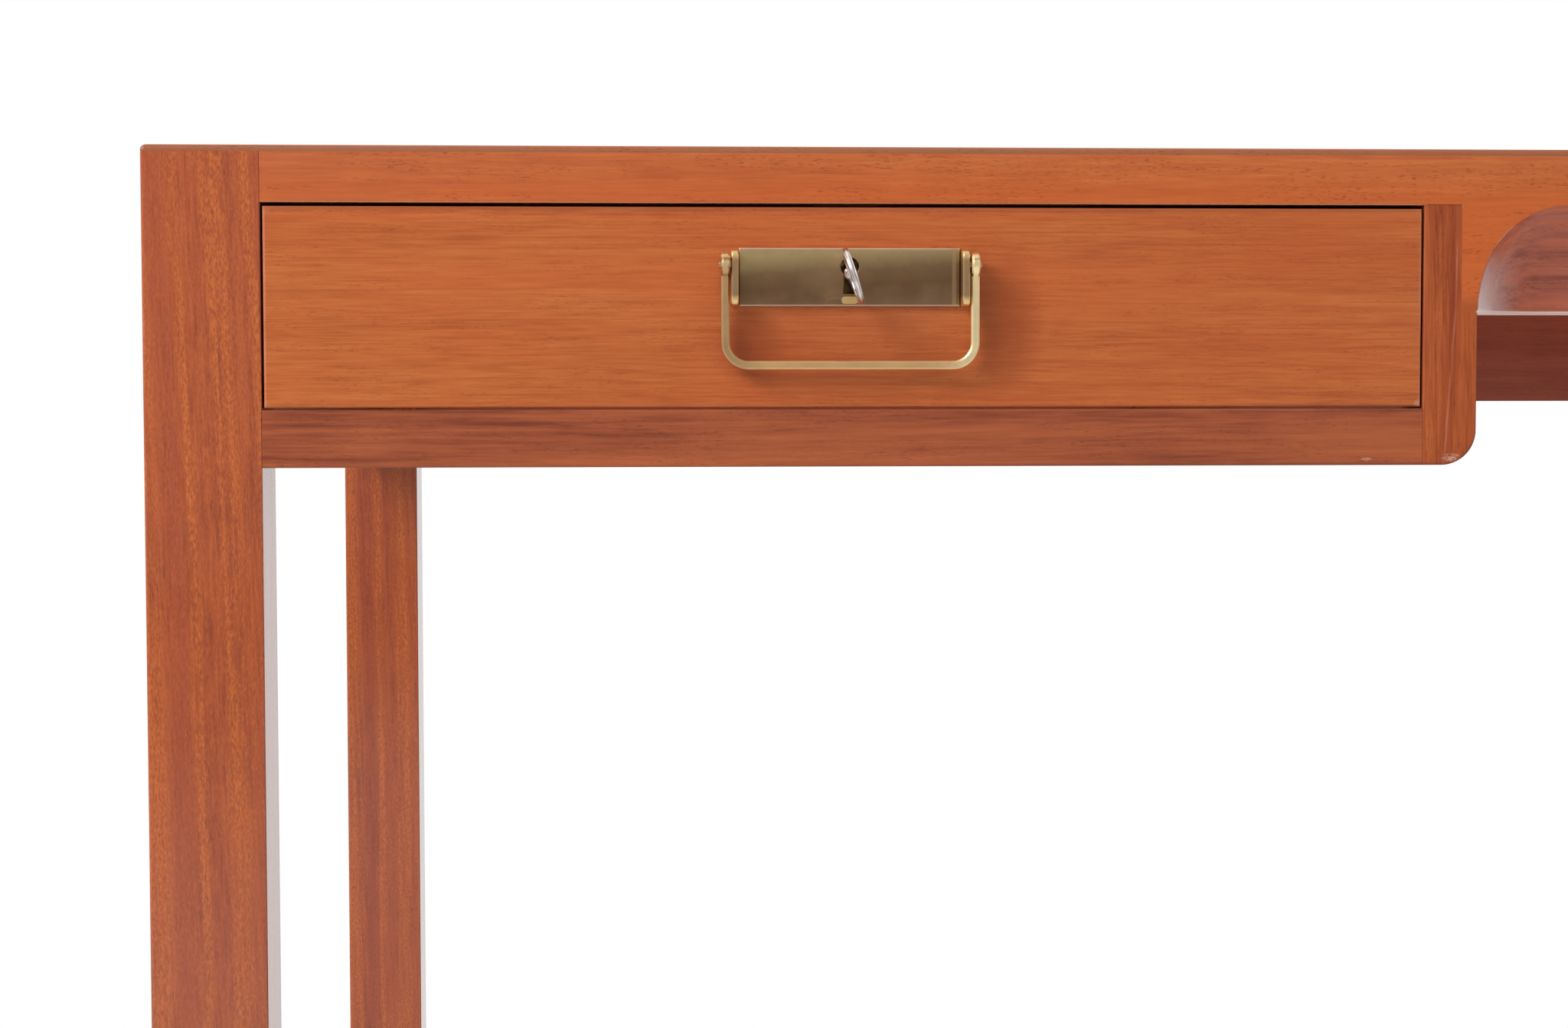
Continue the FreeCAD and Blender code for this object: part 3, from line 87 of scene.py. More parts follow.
class Nodes:
    """A node tree, and the few kinds of node that the finishes and the sky are made of."""

    def __init__(self, tree):
        self.tree = tree
        self.place = self.node("ShaderNodeTexCoord").outputs["Object"]

    def node(self, kind, **settings):
        made = self.tree.nodes.new(kind)
        for setting, value in settings.items():
            setattr(made, setting, value)
        return made

    def feed(self, socket, value):
        if isinstance(value, bpy.types.NodeSocket):
            self.tree.links.new(value, socket)
        else:
            socket.default_value = value

    def work(self, operation, first, second=0.0):
        made = self.node("ShaderNodeMath", operation=operation)
        self.feed(made.inputs[0], first)
        self.feed(made.inputs[1], second)
        return made.outputs[0]

    def move(self, operation, first, second):
        made = self.node("ShaderNodeVectorMath", operation=operation)
        self.feed(made.inputs[0], first)
        self.feed(made.inputs[1], second)
        single = operation in ("DOT_PRODUCT", "LENGTH")
        return made.outputs["Value" if single else "Vector"]

    def turn(self, vector, rotation, location):
        made = self.node("ShaderNodeMapping")
        self.feed(made.inputs["Vector"], vector)
        made.inputs["Rotation"].default_value = rotation
        made.inputs["Location"].default_value = location
        return made.outputs["Vector"]

    def noise(self, vector, stretch, detail, roughness=0.5, output=0):
        """Noise drawn out along the axes; output 0 is its level and "Color" three levels."""
        made = self.node("ShaderNodeTexNoise")
        self.feed(made.inputs["Vector"], self.move("MULTIPLY", vector, stretch))
        made.inputs["Scale"].default_value = 1.0
        made.inputs["Detail"].default_value = detail
        made.inputs["Roughness"].default_value = roughness
        return made.outputs[output]

    def span(self, value, low, high, to_low=0.0, to_high=1.0):
        made = self.node("ShaderNodeMapRange", clamp=True)
        self.feed(made.inputs["Value"], value)
        for socket, number in zip(("From Min", "From Max", "To Min", "To Max"),
                                  (low, high, to_low, to_high)):
            made.inputs[socket].default_value = number
        return made.outputs["Result"]

    def ramp(self, value, stops):
        made = self.node("ShaderNodeValToRGB")
        band = made.color_ramp
        while len(band.elements) < len(stops):
            band.elements.new(0.5)
        for element, (share, shade) in zip(band.elements, stops):
            element.position = share
            element.color = shade if isinstance(shade, tuple) else (shade, shade, shade, 1.0)
        self.feed(made.inputs["Fac"], value)
        return made.outputs["Color"]

    def blend(self, share, first, second, weight=None):
        """Lay a second colour over the first by a share, itself weighed if need be."""
        if weight is not None:
            share = self.work("MULTIPLY", share, weight)
        made = self.node("ShaderNodeMix", data_type="RGBA")
        self.feed(made.inputs[0], share)
        self.feed(made.inputs[6], first)
        self.feed(made.inputs[7], second)
        return made.outputs[2]

    def axes(self):
        made = self.node("ShaderNodeSeparateXYZ")
        self.feed(made.inputs["Vector"], self.place)
        return made.outputs["X"], made.outputs["Y"], made.outputs["Z"]


class Finish(Nodes):
    """One finish, built up node by node on the surface's own place in the desk."""

    def __init__(self, name):
        self.material = bpy.data.materials.new(name)
        self.material.use_nodes = True
        super().__init__(self.material.node_tree)
        self.surface = self.tree.nodes["Principled BSDF"]
        self.flat = self.node("ShaderNodeNewGeometry").outputs["Normal"]

    def eased_normal(self, radius):
        made = self.node("ShaderNodeBevel", samples=4)
        made.inputs["Radius"].default_value = radius
        return made.outputs["Normal"]

    def arris(self, normal, low=0.02, high=0.3):
        """1 along an outer edge and 0 on the flats, from how far the eased normal turns."""
        lean = self.work("SUBTRACT", 1.0, self.move("DOT_PRODUCT", normal, self.flat))
        return self.span(lean, low, high)

    def within(self, value, low, high):
        """1 where a value lies between two levels."""
        above = self.work("GREATER_THAN", value, low)
        return self.work("MULTIPLY", above, self.work("LESS_THAN", value, high))

    def spot(self, *reaches, power=2.0, soft=0.2):
        """1 inside a rounded patch and 0 outside it; a reach is (value, middle, half size)."""
        total = None
        for value, middle, half in reaches:
            share = self.work("DIVIDE", self.work("SUBTRACT", value, middle), half)
            share = self.work("POWER", self.work("ABSOLUTE", share), power)
            total = share if total is None else self.work("ADD", total, share)
        return self.span(total, soft, 1.0, 1.0, 0.0)

    def bump(self, height, distance, strength, normal=None):
        made = self.node("ShaderNodeBump")
        made.inputs["Strength"].default_value = strength
        made.inputs["Distance"].default_value = distance
        self.feed(made.inputs["Height"], height)
        if normal is not None:
            self.feed(made.inputs["Normal"], normal)
        return made.outputs["Normal"]

    def finish(self, colour, roughness, normal, **constants):
        self.feed(self.surface.inputs["Base Color"], colour)
        self.feed(self.surface.inputs["Roughness"], roughness)
        self.feed(self.surface.inputs["Normal"], normal)
        for socket, value in constants.items():
            self.surface.inputs[socket.replace("_", " ")].default_value = value
        return self.material


# Woods

class Plank(Finish):
    """A plank's figure: bands, streaks, fibres and pores that run along its length."""

    def __init__(self, name, along, seed, tilt=0.0, waver=6 * MM):
        super().__init__(name)
        rotation = Vector(GRAIN_ALONG[along])
        rotation.y += tilt
        self.lie = self.turn(self.place, tuple(rotation), (seed * 1.37, seed * 0.71, seed * 2.13))
        sway = self.noise(self.lie, (1.6, 8.0, 8.0), detail=2, output="Color")
        sway = self.move("SUBTRACT", sway, (0.5, 0.5, 0.5))
        sway = self.move("MULTIPLY", sway, (0.0, waver, waver))
        self.run = self.move("ADD", self.lie, sway)
        self.bands = self.noise(self.run, (2.0, 44.0, 44.0), detail=2)
        self.streaks = self.noise(self.run, (9.0, 280.0, 280.0), detail=3, roughness=0.6)
        self.fibres = self.noise(self.run, (56.0, 950.0, 950.0), detail=2)
        self.mottle = self.noise(self.run, (40.0, 60.0, 60.0), detail=3)
        dash = self.noise(self.run, (330.0, 1900.0, 1900.0), detail=1)
        crowd = self.noise(self.run, (22.0, 170.0, 170.0), detail=1)
        self.pores = self.work("MULTIPLY", self.span(dash, 0.58, 0.70),
                               self.span(crowd, 0.42, 0.60))
        self.eased = self.eased_normal(0.9 * MM)
        self.flush = None

    def joined(self, **spans):
        """Mark where this plank runs flush into its neighbour, so that no edge shows there."""
        x, y, z = self.axes()
        places = {"x": self.work("ABSOLUTE", x), "y": y, "z": z}
        inside = None
        for axis, (low, high) in spans.items():
            here = self.within(places[axis], low, high)
            inside = here if inside is None else self.work("MULTIPLY", inside, here)
        self.flush = inside if self.flush is None else self.work("MAXIMUM", self.flush, inside)

    def figure(self, deep, middle, bright, shares, spread=0.13):
        """Colour of the bare figure; shares go to bands, streaks, fibres and mottle."""
        total = None
        for share, layer in zip(shares, (self.bands, self.streaks, self.fibres, self.mottle)):
            part = self.work("MULTIPLY", layer, share)
            total = part if total is None else self.work("ADD", total, part)
        return self.ramp(total, [(0.5 - spread, deep), (0.5, middle), (0.5 + spread, bright)])

    def stain_pores(self, colour, shade, share):
        return self.blend(self.pores, colour, shade, share)

    def rub_edges(self, colour, pale, share):
        """Pale rubbed line along the open arrises, broken up as hands leave it."""
        patch = self.noise(self.place, (45.0, 45.0, 45.0), detail=3)
        rubbed = self.work("MULTIPLY", self.arris(self.eased),
                           self.span(patch, 0.3, 0.6, 0.35, 1.0))
        if self.flush is not None:
            rubbed = self.work("MULTIPLY", rubbed, self.work("SUBTRACT", 1.0, self.flush))
        return self.blend(rubbed, colour, pale, share)

    def laid_normal(self):
        """Normal eased over the open edges, and left flat along flush joints."""
        if self.flush is None:
            return self.eased
        made = self.node("ShaderNodeMix", data_type="VECTOR")
        self.feed(made.inputs[0], self.flush)
        self.feed(made.inputs[4], self.eased)
        self.feed(made.inputs[5], self.flat)
        return made.outputs[1]

    def varnish(self, colour, gloss=0.40, coat=0.4, coat_roughness=0.14):
        roughness = self.span(self.streaks, 0.3, 0.7, gloss - 0.05, gloss + 0.07)
        relief = self.work("SUBTRACT", self.work("MULTIPLY", self.fibres, 0.5), self.pores)
        normal = self.bump(relief, 0.07 * MM, 0.4, self.laid_normal())
        return self.finish(colour, roughness, normal, Specular_IOR_Level=0.08,
                           Coat_Weight=coat, Coat_Roughness=coat_roughness)

    def bare(self, colour):
        relief = self.work("SUBTRACT", self.fibres, self.pores)
        normal = self.bump(relief, 0.14 * MM, 0.6, self.laid_normal())
        roughness = self.span(self.streaks, 0.3, 0.7, 0.64, 0.78)
        return self.finish(colour, roughness, normal, Specular_IOR_Level=0.25)


PORE = tint(92, 40, 22)
RUBBED = tint(226, 172, 148)
CHAFED = tint(236, 204, 182)

# Darker patches on the drawer front, where the photo's bail throws a wider shadow than ours:
# distance from the pull's middle, height and half sizes, in millimetres
BAIL_SHADES = ((67, 655, 17, 31), (-40, 646, 18, 19))


def drawer_front_wood(name, seed):
    """Drawer front: an even, fine, straight figure with soft redder clouds, a rim partly rubbed
    and partly a painted highlight, and painted shade under its top edge and round the pull.
    """
    plank = Plank(name, "x", seed)
    low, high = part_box(name.replace("_wood", ""))
    colour = plank.figure(tint(164, 81, 40), tint(187, 99, 50), tint(200, 113, 61),
                          (0.18, 0.34, 0.38, 0.10), 0.16)
    hair = plank.noise(plank.run, (12.0, 1300.0, 1300.0), detail=1)
    colour = plank.blend(plank.span(hair, 0.54, 0.72, 0.0, 0.32), colour, tint(154, 72, 34))
    cloud = plank.noise(plank.run, (7.0, 34.0, 34.0), detail=2)
    colour = plank.blend(plank.span(cloud, 0.42, 0.66, 0.0, 0.4), colour, tint(189, 87, 43))
    colour = plank.stain_pores(colour, PORE, 0.24)
    x, y, z = plank.axes()
    middle = (low + high) / 2
    half = (high - low) / 2
    off_x = plank.work("ABSOLUTE", plank.work("SUBTRACT", x, middle.x))
    off_z = plank.work("ABSOLUTE", plank.work("SUBTRACT", z, middle.z))
    # Pale rim and corners: partly rubbed wear, partly a painted highlight along the rounded edges.
    rim = plank.work("MAXIMUM", plank.span(off_x, half.x - 1.3 * MM, half.x - 0.7 * MM),
                     plank.span(z, high.z - 1.2 * MM, high.z - 0.6 * MM, 0.0, 0.2))
    rim = plank.work("MULTIPLY", rim, plank.span(y, low.y + 1.4 * MM, low.y + 0.9 * MM))
    wear = plank.noise(plank.place, (30.0, 30.0, 30.0), detail=3)
    rim = plank.work("MULTIPLY", rim, plank.span(wear, 0.3, 0.65, 0.08, 0.32))
    colour = plank.blend(rim, colour, RUBBED)
    corner = plank.spot((off_x, half.x - MM, 2.4 * MM), (off_z, half.z - MM, 2.4 * MM))
    corner = plank.work("MULTIPLY", corner, plank.span(wear, 0.4, 0.6, 0.0, 0.18))
    colour = plank.blend(corner, colour, CHAFED)
    # Painted shade: darker just under the top edge, where the rail above shades it.
    colour = plank.blend(plank.span(z, high.z - 2.6 * MM, high.z, 0.0, 0.5), colour,
                         tint(110, 50, 28))
    # Painted shade round and below the pull, where the plate and bail throw shadows; the patches
    # of BAIL_SHADES widen it beside the arms.
    painted_pull_shade = plank.spot((x, middle.x, 66 * MM), (z, PULL_LEVEL, 26 * MM), soft=0.0)
    painted_pull_shade = plank.work("MULTIPLY", painted_pull_shade, 0.28)
    for off, level, half_x, half_z in BAIL_SHADES:
        shaded = plank.spot((x, middle.x + off * MM, half_x * MM),
                            (z, level * MM, half_z * MM), soft=0.0)
        painted_pull_shade = plank.work("MAXIMUM", painted_pull_shade, plank.work("MULTIPLY", shaded, 0.7))
    colour = plank.blend(painted_pull_shade, colour, tint(146, 66, 30))
    return plank.varnish(colour)


def top_rail_wood():
    """Top rail: redder and duller under the sheet, orange low down; in the scoop purple-grey,
    partly painted sheen, with a painted highlight in its corner and along its lower edge.
    """
    plank = Plank("top_rail_wood", "x", 3.0)
    low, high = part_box("front_top_rail")
    plank.joined(x=(high.x - 22 * MM, high.x))
    plank.joined(z=(high.z - 1.5 * MM, high.z + MM))
    plank.joined(x=(282.8 * MM, 320 * MM), z=(low.z - MM, high.z - 22.5 * MM))
    x, y, z = plank.axes()
    x = plank.work("ABSOLUTE", x)
    colour = plank.figure(tint(172, 84, 44), tint(190, 98, 52), tint(203, 112, 60),
                          (0.26, 0.30, 0.28, 0.16))
    glow = plank.span(z, high.z - 5 * MM, high.z - 24 * MM)
    colour = plank.blend(glow, colour, tint(203, 95, 36), 0.55)
    colour = plank.blend(plank.span(x, 560 * MM, 790 * MM, 0.0, 0.2), colour, tint(172, 92, 64))
    # The scoop's tone: the wood's own figure with a painted purple-grey sheen, as the glossy scoop
    # reflects the white around it.
    scoop_tone_and_sheen = plank.figure(tint(142, 74, 57), tint(184, 101, 78), tint(210, 112, 72),
                          (0.40, 0.44, 0.10, 0.06))
    inside = plank.span(y, low.y + 0.4 * MM, low.y + 1.6 * MM)
    below = plank.span(z, high.z - 21.2 * MM, high.z - 20.8 * MM, 1.0, 0.0)
    inside = plank.work("MULTIPLY", inside, below)
    colour = plank.blend(inside, colour, scoop_tone_and_sheen)
    # Painted highlight: a near-white reflection in the scoop's corner by the kneehole side, fading
    # up and inwards.
    corner = plank.work("MULTIPLY", plank.span(y, low.y + 30 * MM, low.y + 2 * MM),
                        plank.span(z, low.z + 28 * MM, low.z + 2 * MM))
    corner = plank.work("POWER", corner, 1.05)
    corner = plank.work("MULTIPLY", corner, plank.span(x, 256 * MM, 276 * MM))
    colour = plank.blend(plank.work("MULTIPLY", corner, inside), colour, tint(252, 242, 242))
    ragged = plank.work("MULTIPLY", plank.work("SUBTRACT", plank.streaks, 0.5), 14 * MM)
    tail = plank.work("MULTIPLY",
                      plank.span(x, KNEEHOLE_SIDE - 0.25 * MM, KNEEHOLE_SIDE + 0.15 * MM),
                      plank.span(plank.work("ADD", z, ragged), low.z + 9 * MM, low.z + MM))
    colour = plank.blend(tail, colour, tint(166, 82, 42), 0.8)
    colour = plank.stain_pores(colour, PORE, 0.4)
    colour = plank.rub_edges(colour, RUBBED, 0.6)
    # Painted highlight: a pale line along the rail's lower edge across the kneehole.
    foot = plank.work("MULTIPLY", plank.within(z, low.z - MM, low.z + 1.3 * MM),
                      plank.within(x, 0.0, KNEEHOLE_SIDE - 0.05 * MM))
    colour = plank.blend(foot, colour, tint(240, 208, 196), 0.9)
    under = plank.work("MULTIPLY", plank.within(z, *TOP_RAIL_UNDERSIDE),
                       plank.within(x, *DRAWER_OPENING))
    colour = plank.blend(under, colour, tint(236, 178, 136), 0.6)
    chafe = plank.spot((x, 271.6 * MM, 6 * MM), (z, low.z + 33.5 * MM, 7 * MM))
    chafe = plank.work("MULTIPLY", chafe, plank.arris(plank.eased, 0.01, 0.12))
    colour = plank.blend(chafe, colour, CHAFED, 0.8)
    return plank.varnish(colour)


def lower_rail_wood(name, seed, way):
    """Lower rail: browner than the rest, with dark drifting streaks and one chafed spot."""
    plank = Plank(name, "x", seed, tilt=0.006, waver=11 * MM)
    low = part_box(name.replace("_wood", ""))[0]
    plank.joined(x=(798.5 * MM, 830 * MM))
    plank.joined(x=(280 * MM, 308.5 * MM))
    colour = plank.figure(tint(120, 56, 37), tint(161, 83, 50), tint(181, 97, 57),
                          (0.40, 0.38, 0.14, 0.08))
    colour = plank.stain_pores(colour, PORE, 0.35)
    colour = plank.rub_edges(colour, RUBBED, 0.5)
    x, _, z = plank.axes()
    foot = plank.work("MULTIPLY", plank.span(z, low.z + 1.5 * MM, low.z + 0.5 * MM),
                      plank.span(plank.work("ABSOLUTE", x), 620 * MM, 340 * MM, 0.1, 0.6))
    colour = plank.blend(foot, colour, tint(104, 50, 34))
    smear = plank.noise(plank.place, (500.0, 500.0, 1400.0), detail=2)
    chafe = plank.spot((x, way * 331 * MM, 2.6 * MM), (z, low.z + 2.6 * MM, 0.9 * MM))
    chafe = plank.work("MULTIPLY", chafe, plank.span(smear, 0.35, 0.6, 0.05, 0.3))
    colour = plank.blend(chafe, colour, CHAFED)
    return plank.varnish(colour)


def leg_wood(name, seed):
    """Leg: red ground with flecked orange streaks that drift as they run down."""
    plank = Plank(name, "z", seed, tilt=0.03, waver=7 * MM)
    low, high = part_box(name.replace("_wood", ""))
    plank.joined(x=LEG_JOINT, z=(705.8 * MM, 728 * MM))
    plank.joined(x=LEG_JOINT, z=(594 * MM, LOWER_RAIL_TOP))
    plank.joined(z=(725.5 * MM, 728 * MM))
    colour = plank.figure(tint(140, 59, 31), tint(167, 78, 38), tint(181, 90, 47),
                          (0.24, 0.30, 0.32, 0.14))
    x, y, z = plank.axes()
    colour = plank.blend(plank.span(z, 600 * MM, 400 * MM, 0.0, 0.2), colour, tint(140, 62, 34))
    across = plank.work("ADD", plank.work("SUBTRACT", x, low.x), plank.work("SUBTRACT", y, low.y))
    wobble = plank.work("MULTIPLY", plank.work("SUBTRACT", plank.bands, 0.5), 6 * MM)
    share = plank.work("DIVIDE", plank.work("ADD", across, wobble), high.x - low.x)
    drift = plank.ramp(plank.span(z, 370 * MM, 730 * MM),
                       [(0.0, 0.22), (0.22, 0.20), (0.44, 0.175), (0.65, 0.13), (0.73, 0.10),
                        (0.83, 0.064), (0.90, 0.013), (0.98, 0.0)])
    level = plank.work("SUBTRACT", plank.work("PINGPONG", share, 1.0), drift)
    level = plank.span(level, -0.25, 1.0)
    band = plank.ramp(level, [(0.0, 0.5), (0.04, 0.75), (0.15, 0.7), (0.20, 0.05), (0.36, 0.05),
                              (0.39, 0.9), (0.42, 0.85), (0.46, 0.05), (0.57, 0.1), (0.60, 0.8),
                              (0.71, 0.7), (0.75, 0.15), (0.85, 0.2), (0.88, 0.9), (0.91, 0.85),
                              (0.94, 0.15)])
    patch = plank.span(plank.streaks, 0.35, 0.62, 0.25, 1.0)
    band = plank.work("MULTIPLY", band, patch)
    colour = plank.blend(band, colour, tint(192, 98, 39), 0.8)
    core = plank.work("MULTIPLY", plank.spot((level, 0.28, 0.075), soft=0.1), patch)
    colour = plank.blend(core, colour, tint(146, 60, 40), 0.45)
    fleck = plank.noise(plank.run, (480.0, 1250.0, 1250.0), detail=1)
    crowd = plank.span(band, 0.0, 0.6, 0.35, 1.0)
    dark = plank.work("MULTIPLY", plank.span(fleck, 0.54, 0.64, 0.0, 0.5), crowd)
    colour = plank.blend(dark, colour, tint(136, 58, 34))
    spark = plank.work("MULTIPLY", plank.span(fleck, 0.44, 0.34, 0.0, 0.4), crowd)
    colour = plank.blend(spark, colour, tint(208, 114, 51))
    colour = plank.stain_pores(colour, PORE, 0.4)
    colour = plank.rub_edges(colour, RUBBED, 0.3)
    return plank.varnish(colour, coat=1.0, coat_roughness=0.03)


def stile_wood(name, seed, way):
    """Stile: upright grain, a dark band and one pale line beside the kneehole, a chafed corner."""
    plank = Plank(name, "z", seed, tilt=-0.02 * way, waver=5 * MM)
    low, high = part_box(name.replace("_wood", ""))
    plank.joined(x=(282.5 * MM, 305.8 * MM), z=(659.2 * MM, high.z + MM))
    plank.joined(z=(high.z - 1.5 * MM, high.z + MM))
    plank.joined(x=(305.5 * MM, 320 * MM), z=(low.z - MM, LOWER_RAIL_TOP))
    colour = plank.figure(tint(130, 54, 27), tint(168, 81, 39), tint(188, 99, 49),
                          (0.18, 0.40, 0.32, 0.10))
    x, _, z = plank.axes()
    inset = plank.work("SUBTRACT", plank.work("ABSOLUTE", x), KNEEHOLE_SIDE)
    drift = plank.work("MAXIMUM", plank.work("SUBTRACT", 666 * MM, z), 0.0)
    along = plank.work("SUBTRACT", inset, plank.work("MULTIPLY", drift, 0.068))
    wobble = plank.work("MULTIPLY", plank.work("SUBTRACT", plank.bands, 0.5), 6 * MM)
    share = plank.work("DIVIDE", plank.work("ADD", along, wobble), STILE_WIDTH)
    band = plank.ramp(share, [(0.0, 0.0), (0.22, 0.05), (0.34, 0.75), (0.46, 0.7), (0.56, 0.0),
                              (0.8, 0.0), (0.95, 0.25)])
    colour = plank.blend(band, colour, tint(142, 56, 32), 0.5)
    below_tail = plank.work("MULTIPLY", plank.span(z, 630 * MM, 660 * MM, 0.0, 0.5),
                            plank.span(inset, 9 * MM, 5 * MM))
    colour = plank.blend(below_tail, colour, tint(184, 92, 42))
    line = plank.work("ABSOLUTE", plank.work("SUBTRACT", along, 9.2 * MM))
    line = plank.work("MULTIPLY", plank.span(line, 0.6 * MM, 0.15 * MM),
                      plank.span(plank.mottle, 0.4, 0.6, 0.1, 0.55))
    colour = plank.blend(line, colour, tint(212, 136, 100))
    colour = plank.stain_pores(colour, PORE, 0.35)
    colour = plank.rub_edges(colour, RUBBED, 0.7)
    short_x = plank.work("MAXIMUM", plank.work("SUBTRACT", STILE_CORNER, inset), 0.0)
    short_z = plank.work("MAXIMUM", plank.work("SUBTRACT", low.z + STILE_CORNER, z), 0.0)
    reach = plank.work("SQRT", plank.work("ADD", plank.work("POWER", short_x, 2.0),
                                          plank.work("POWER", short_z, 2.0)))
    foot = plank.work("MULTIPLY",
                      plank.span(reach, STILE_CORNER - 1.4 * MM, STILE_CORNER - 0.4 * MM),
                      plank.span(z, low.z + 22 * MM, low.z + 8 * MM, 0.0, 0.6))
    colour = plank.blend(foot, colour, tint(104, 50, 34))
    smear = plank.noise(plank.place, (500.0, 500.0, 900.0), detail=2)
    chafe = plank.spot((x, way * 294 * MM, 5 * MM), (z, low.z + 3.2 * MM, 2 * MM))
    chafe = plank.work("MULTIPLY", chafe, plank.span(smear, 0.35, 0.55))
    colour = plank.blend(chafe, colour, CHAFED, 0.4)
    return plank.varnish(colour)


def top_wood():
    """Top: broad bands along its length, and a greyer edge."""
    plank = Plank("top_wood", "x", 5.0, waver=16 * MM)
    low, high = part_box("top_sheet")
    plank.joined(z=(low.z - MM, low.z + 0.8 * MM))
    colour = plank.figure(tint(142, 68, 40), tint(174, 90, 51), tint(191, 105, 60),
                          (0.46, 0.32, 0.14, 0.08))
    _, _, z = plank.axes()
    edge = plank.span(z, high.z - 0.1 * MM, high.z - 0.9 * MM)
    edge = plank.work("MULTIPLY", edge, plank.span(plank.streaks, 0.35, 0.65, 0.5, 0.9))
    colour = plank.blend(edge, colour, tint(150, 96, 68))
    colour = plank.stain_pores(colour, PORE, 0.45)
    return plank.varnish(colour, gloss=0.34)


def case_wood(name, along, seed):
    """Case sides and core: darker and plainer than the front."""
    plank = Plank(name, along, seed, waver=14 * MM)
    colour = plank.figure(tint(122, 58, 40), tint(152, 77, 50), tint(170, 92, 59),
                          (0.46, 0.32, 0.14, 0.08))
    colour = plank.stain_pores(colour, PORE, 0.4)
    colour = plank.rub_edges(colour, RUBBED, 0.3)
    return plank.varnish(colour)


def back_wood():
    """Back board: close, plain and dark, with hardly any figure."""
    plank = Plank("back_wood", "x", 12.0, waver=14 * MM)
    colour = plank.figure(tint(158, 82, 62), tint(176, 92, 70), tint(186, 100, 76),
                          (0.34, 0.36, 0.20, 0.10))
    colour = plank.stain_pores(colour, PORE, 0.25)
    return plank.varnish(colour, gloss=0.42)


def lining_wood(name, along, seed):
    """Drawer lining: pale, unvarnished, a little grey where hands touch it."""
    plank = Plank(name, along, seed, waver=9 * MM)
    colour = plank.figure(tint(176, 132, 88), tint(204, 161, 113), tint(219, 182, 136),
                          (0.45, 0.33, 0.14, 0.08))
    dust = plank.noise(plank.place, (9.0, 9.0, 9.0), detail=4)
    colour = plank.blend(plank.span(dust, 0.45, 0.75, 0.0, 0.35), colour, tint(158, 124, 94))
    colour = plank.stain_pores(colour, tint(112, 80, 52), 0.5)
    return plank.bare(colour)


# Metals

class Metal(Finish):
    """Metal with a cloudy tarnish, fine scratches and eased, rubbed edges."""

    def __init__(self, name):
        super().__init__(name)
        self.cloud = self.noise(self.place, (120.0, 120.0, 120.0), detail=4, roughness=0.6)
        self.grain = self.noise(self.place, (900.0, 900.0, 2600.0), detail=2)
        self.eased = self.eased_normal(0.35 * MM)

    def tarnish(self, deep, middle, bright):
        return self.ramp(self.cloud, [(0.36, deep), (0.5, middle), (0.64, bright)])

    def rub_edges(self, colour, pale, share):
        return self.blend(self.arris(self.eased, 0.03, 0.35), colour, pale, share)

    def polish(self, colour, gloss):
        roughness = self.span(self.cloud, 0.3, 0.7, gloss + 0.1, gloss - 0.06)
        normal = self.bump(self.grain, 0.012 * MM, 0.35, self.eased)
        return self.finish(colour, roughness, normal, Metallic=1.0)


def plate_brass():
    """Lock plate: brown tarnish under a painted reflection that lightens it upwards and to the
    left, painted highlights along its rims and near its right end, bright where the key rubs.
    """
    metal = Metal("plate_brass")
    low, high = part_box("right_pull_plate")
    middle_x = (low.x + high.x) / 2
    x, _, z = metal.axes()
    side = metal.work("SIGN", x)
    across = metal.work("SUBTRACT", x, metal.work("MULTIPLY", side, middle_x))
    up = metal.span(z, low.z, high.z)
    # Painted reflection: lighter towards the top and the left, over the cloudy tarnish.
    wave = metal.work("MULTIPLY", metal.work("SUBTRACT", metal.cloud, 0.5), 0.3)
    lean = metal.work("MULTIPLY", across, -2.2)
    level = metal.work("ADD", metal.work("ADD", up, wave), lean)
    colour = metal.ramp(level, [(0.0, tint(139, 110, 83)), (0.35, tint(125, 94, 67)),
                                (0.62, tint(139, 110, 79)), (0.95, tint(193, 166, 118))])
    worn = metal.spot((across, -6 * MM, 17 * MM), (z, low.z + 12 * MM, 10 * MM), soft=0.0)
    colour = metal.blend(worn, colour, tint(176, 144, 104), 0.35)
    # Painted highlights along the top and bottom rims.
    rims = metal.work("MAXIMUM", metal.span(up, 0.955, 0.985),
                      metal.work("MULTIPLY", metal.span(up, 0.04, 0.02), 0.6))
    colour = metal.blend(rims, colour, tint(224, 184, 158))
    # Painted highlight: a light strip near the plate's right end.
    strip = metal.within(across, 43.5 * MM, 45.2 * MM)
    colour = metal.blend(strip, colour, tint(196, 164, 124), 0.4)
    arc = metal.spot((across, -6 * MM, 4.6 * MM), (z, low.z + 0.4 * MM, 3.4 * MM), soft=0.8)
    arc = metal.work("MULTIPLY", arc, metal.span(arc, 0.99, 0.6))
    colour = metal.blend(arc, colour, tint(206, 168, 112), 0.5)
    lip = metal.spot((across, 0.0, 3.5 * MM), (z, low.z + 2.6 * MM, 1.6 * MM), power=4.0, soft=0.7)
    colour = metal.blend(lip, colour, tint(232, 196, 128), 0.85)
    colour = metal.rub_edges(colour, tint(214, 178, 132), 0.4)
    return metal.polish(colour, gloss=0.36)


def post_brass():
    """Posts: painted highlights at both ends, olive between them."""
    metal = Metal("post_brass")
    low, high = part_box("right_pull_post_a")
    _, _, z = metal.axes()
    up = metal.work("ADD", metal.span(z, low.z, high.z),
                    metal.work("MULTIPLY", metal.work("SUBTRACT", metal.cloud, 0.5), 0.1))
    # Painted highlights where the rounded ends catch the light.
    colour = metal.ramp(up, [(0.0, tint(240, 208, 150)), (0.14, tint(228, 192, 136)),
                             (0.20, tint(178, 145, 110)), (0.80, tint(184, 149, 109)),
                             (0.87, tint(230, 194, 140)), (1.0, tint(242, 212, 158))])
    colour = metal.rub_edges(colour, tint(238, 206, 154), 0.5)
    return metal.polish(colour, gloss=0.32)


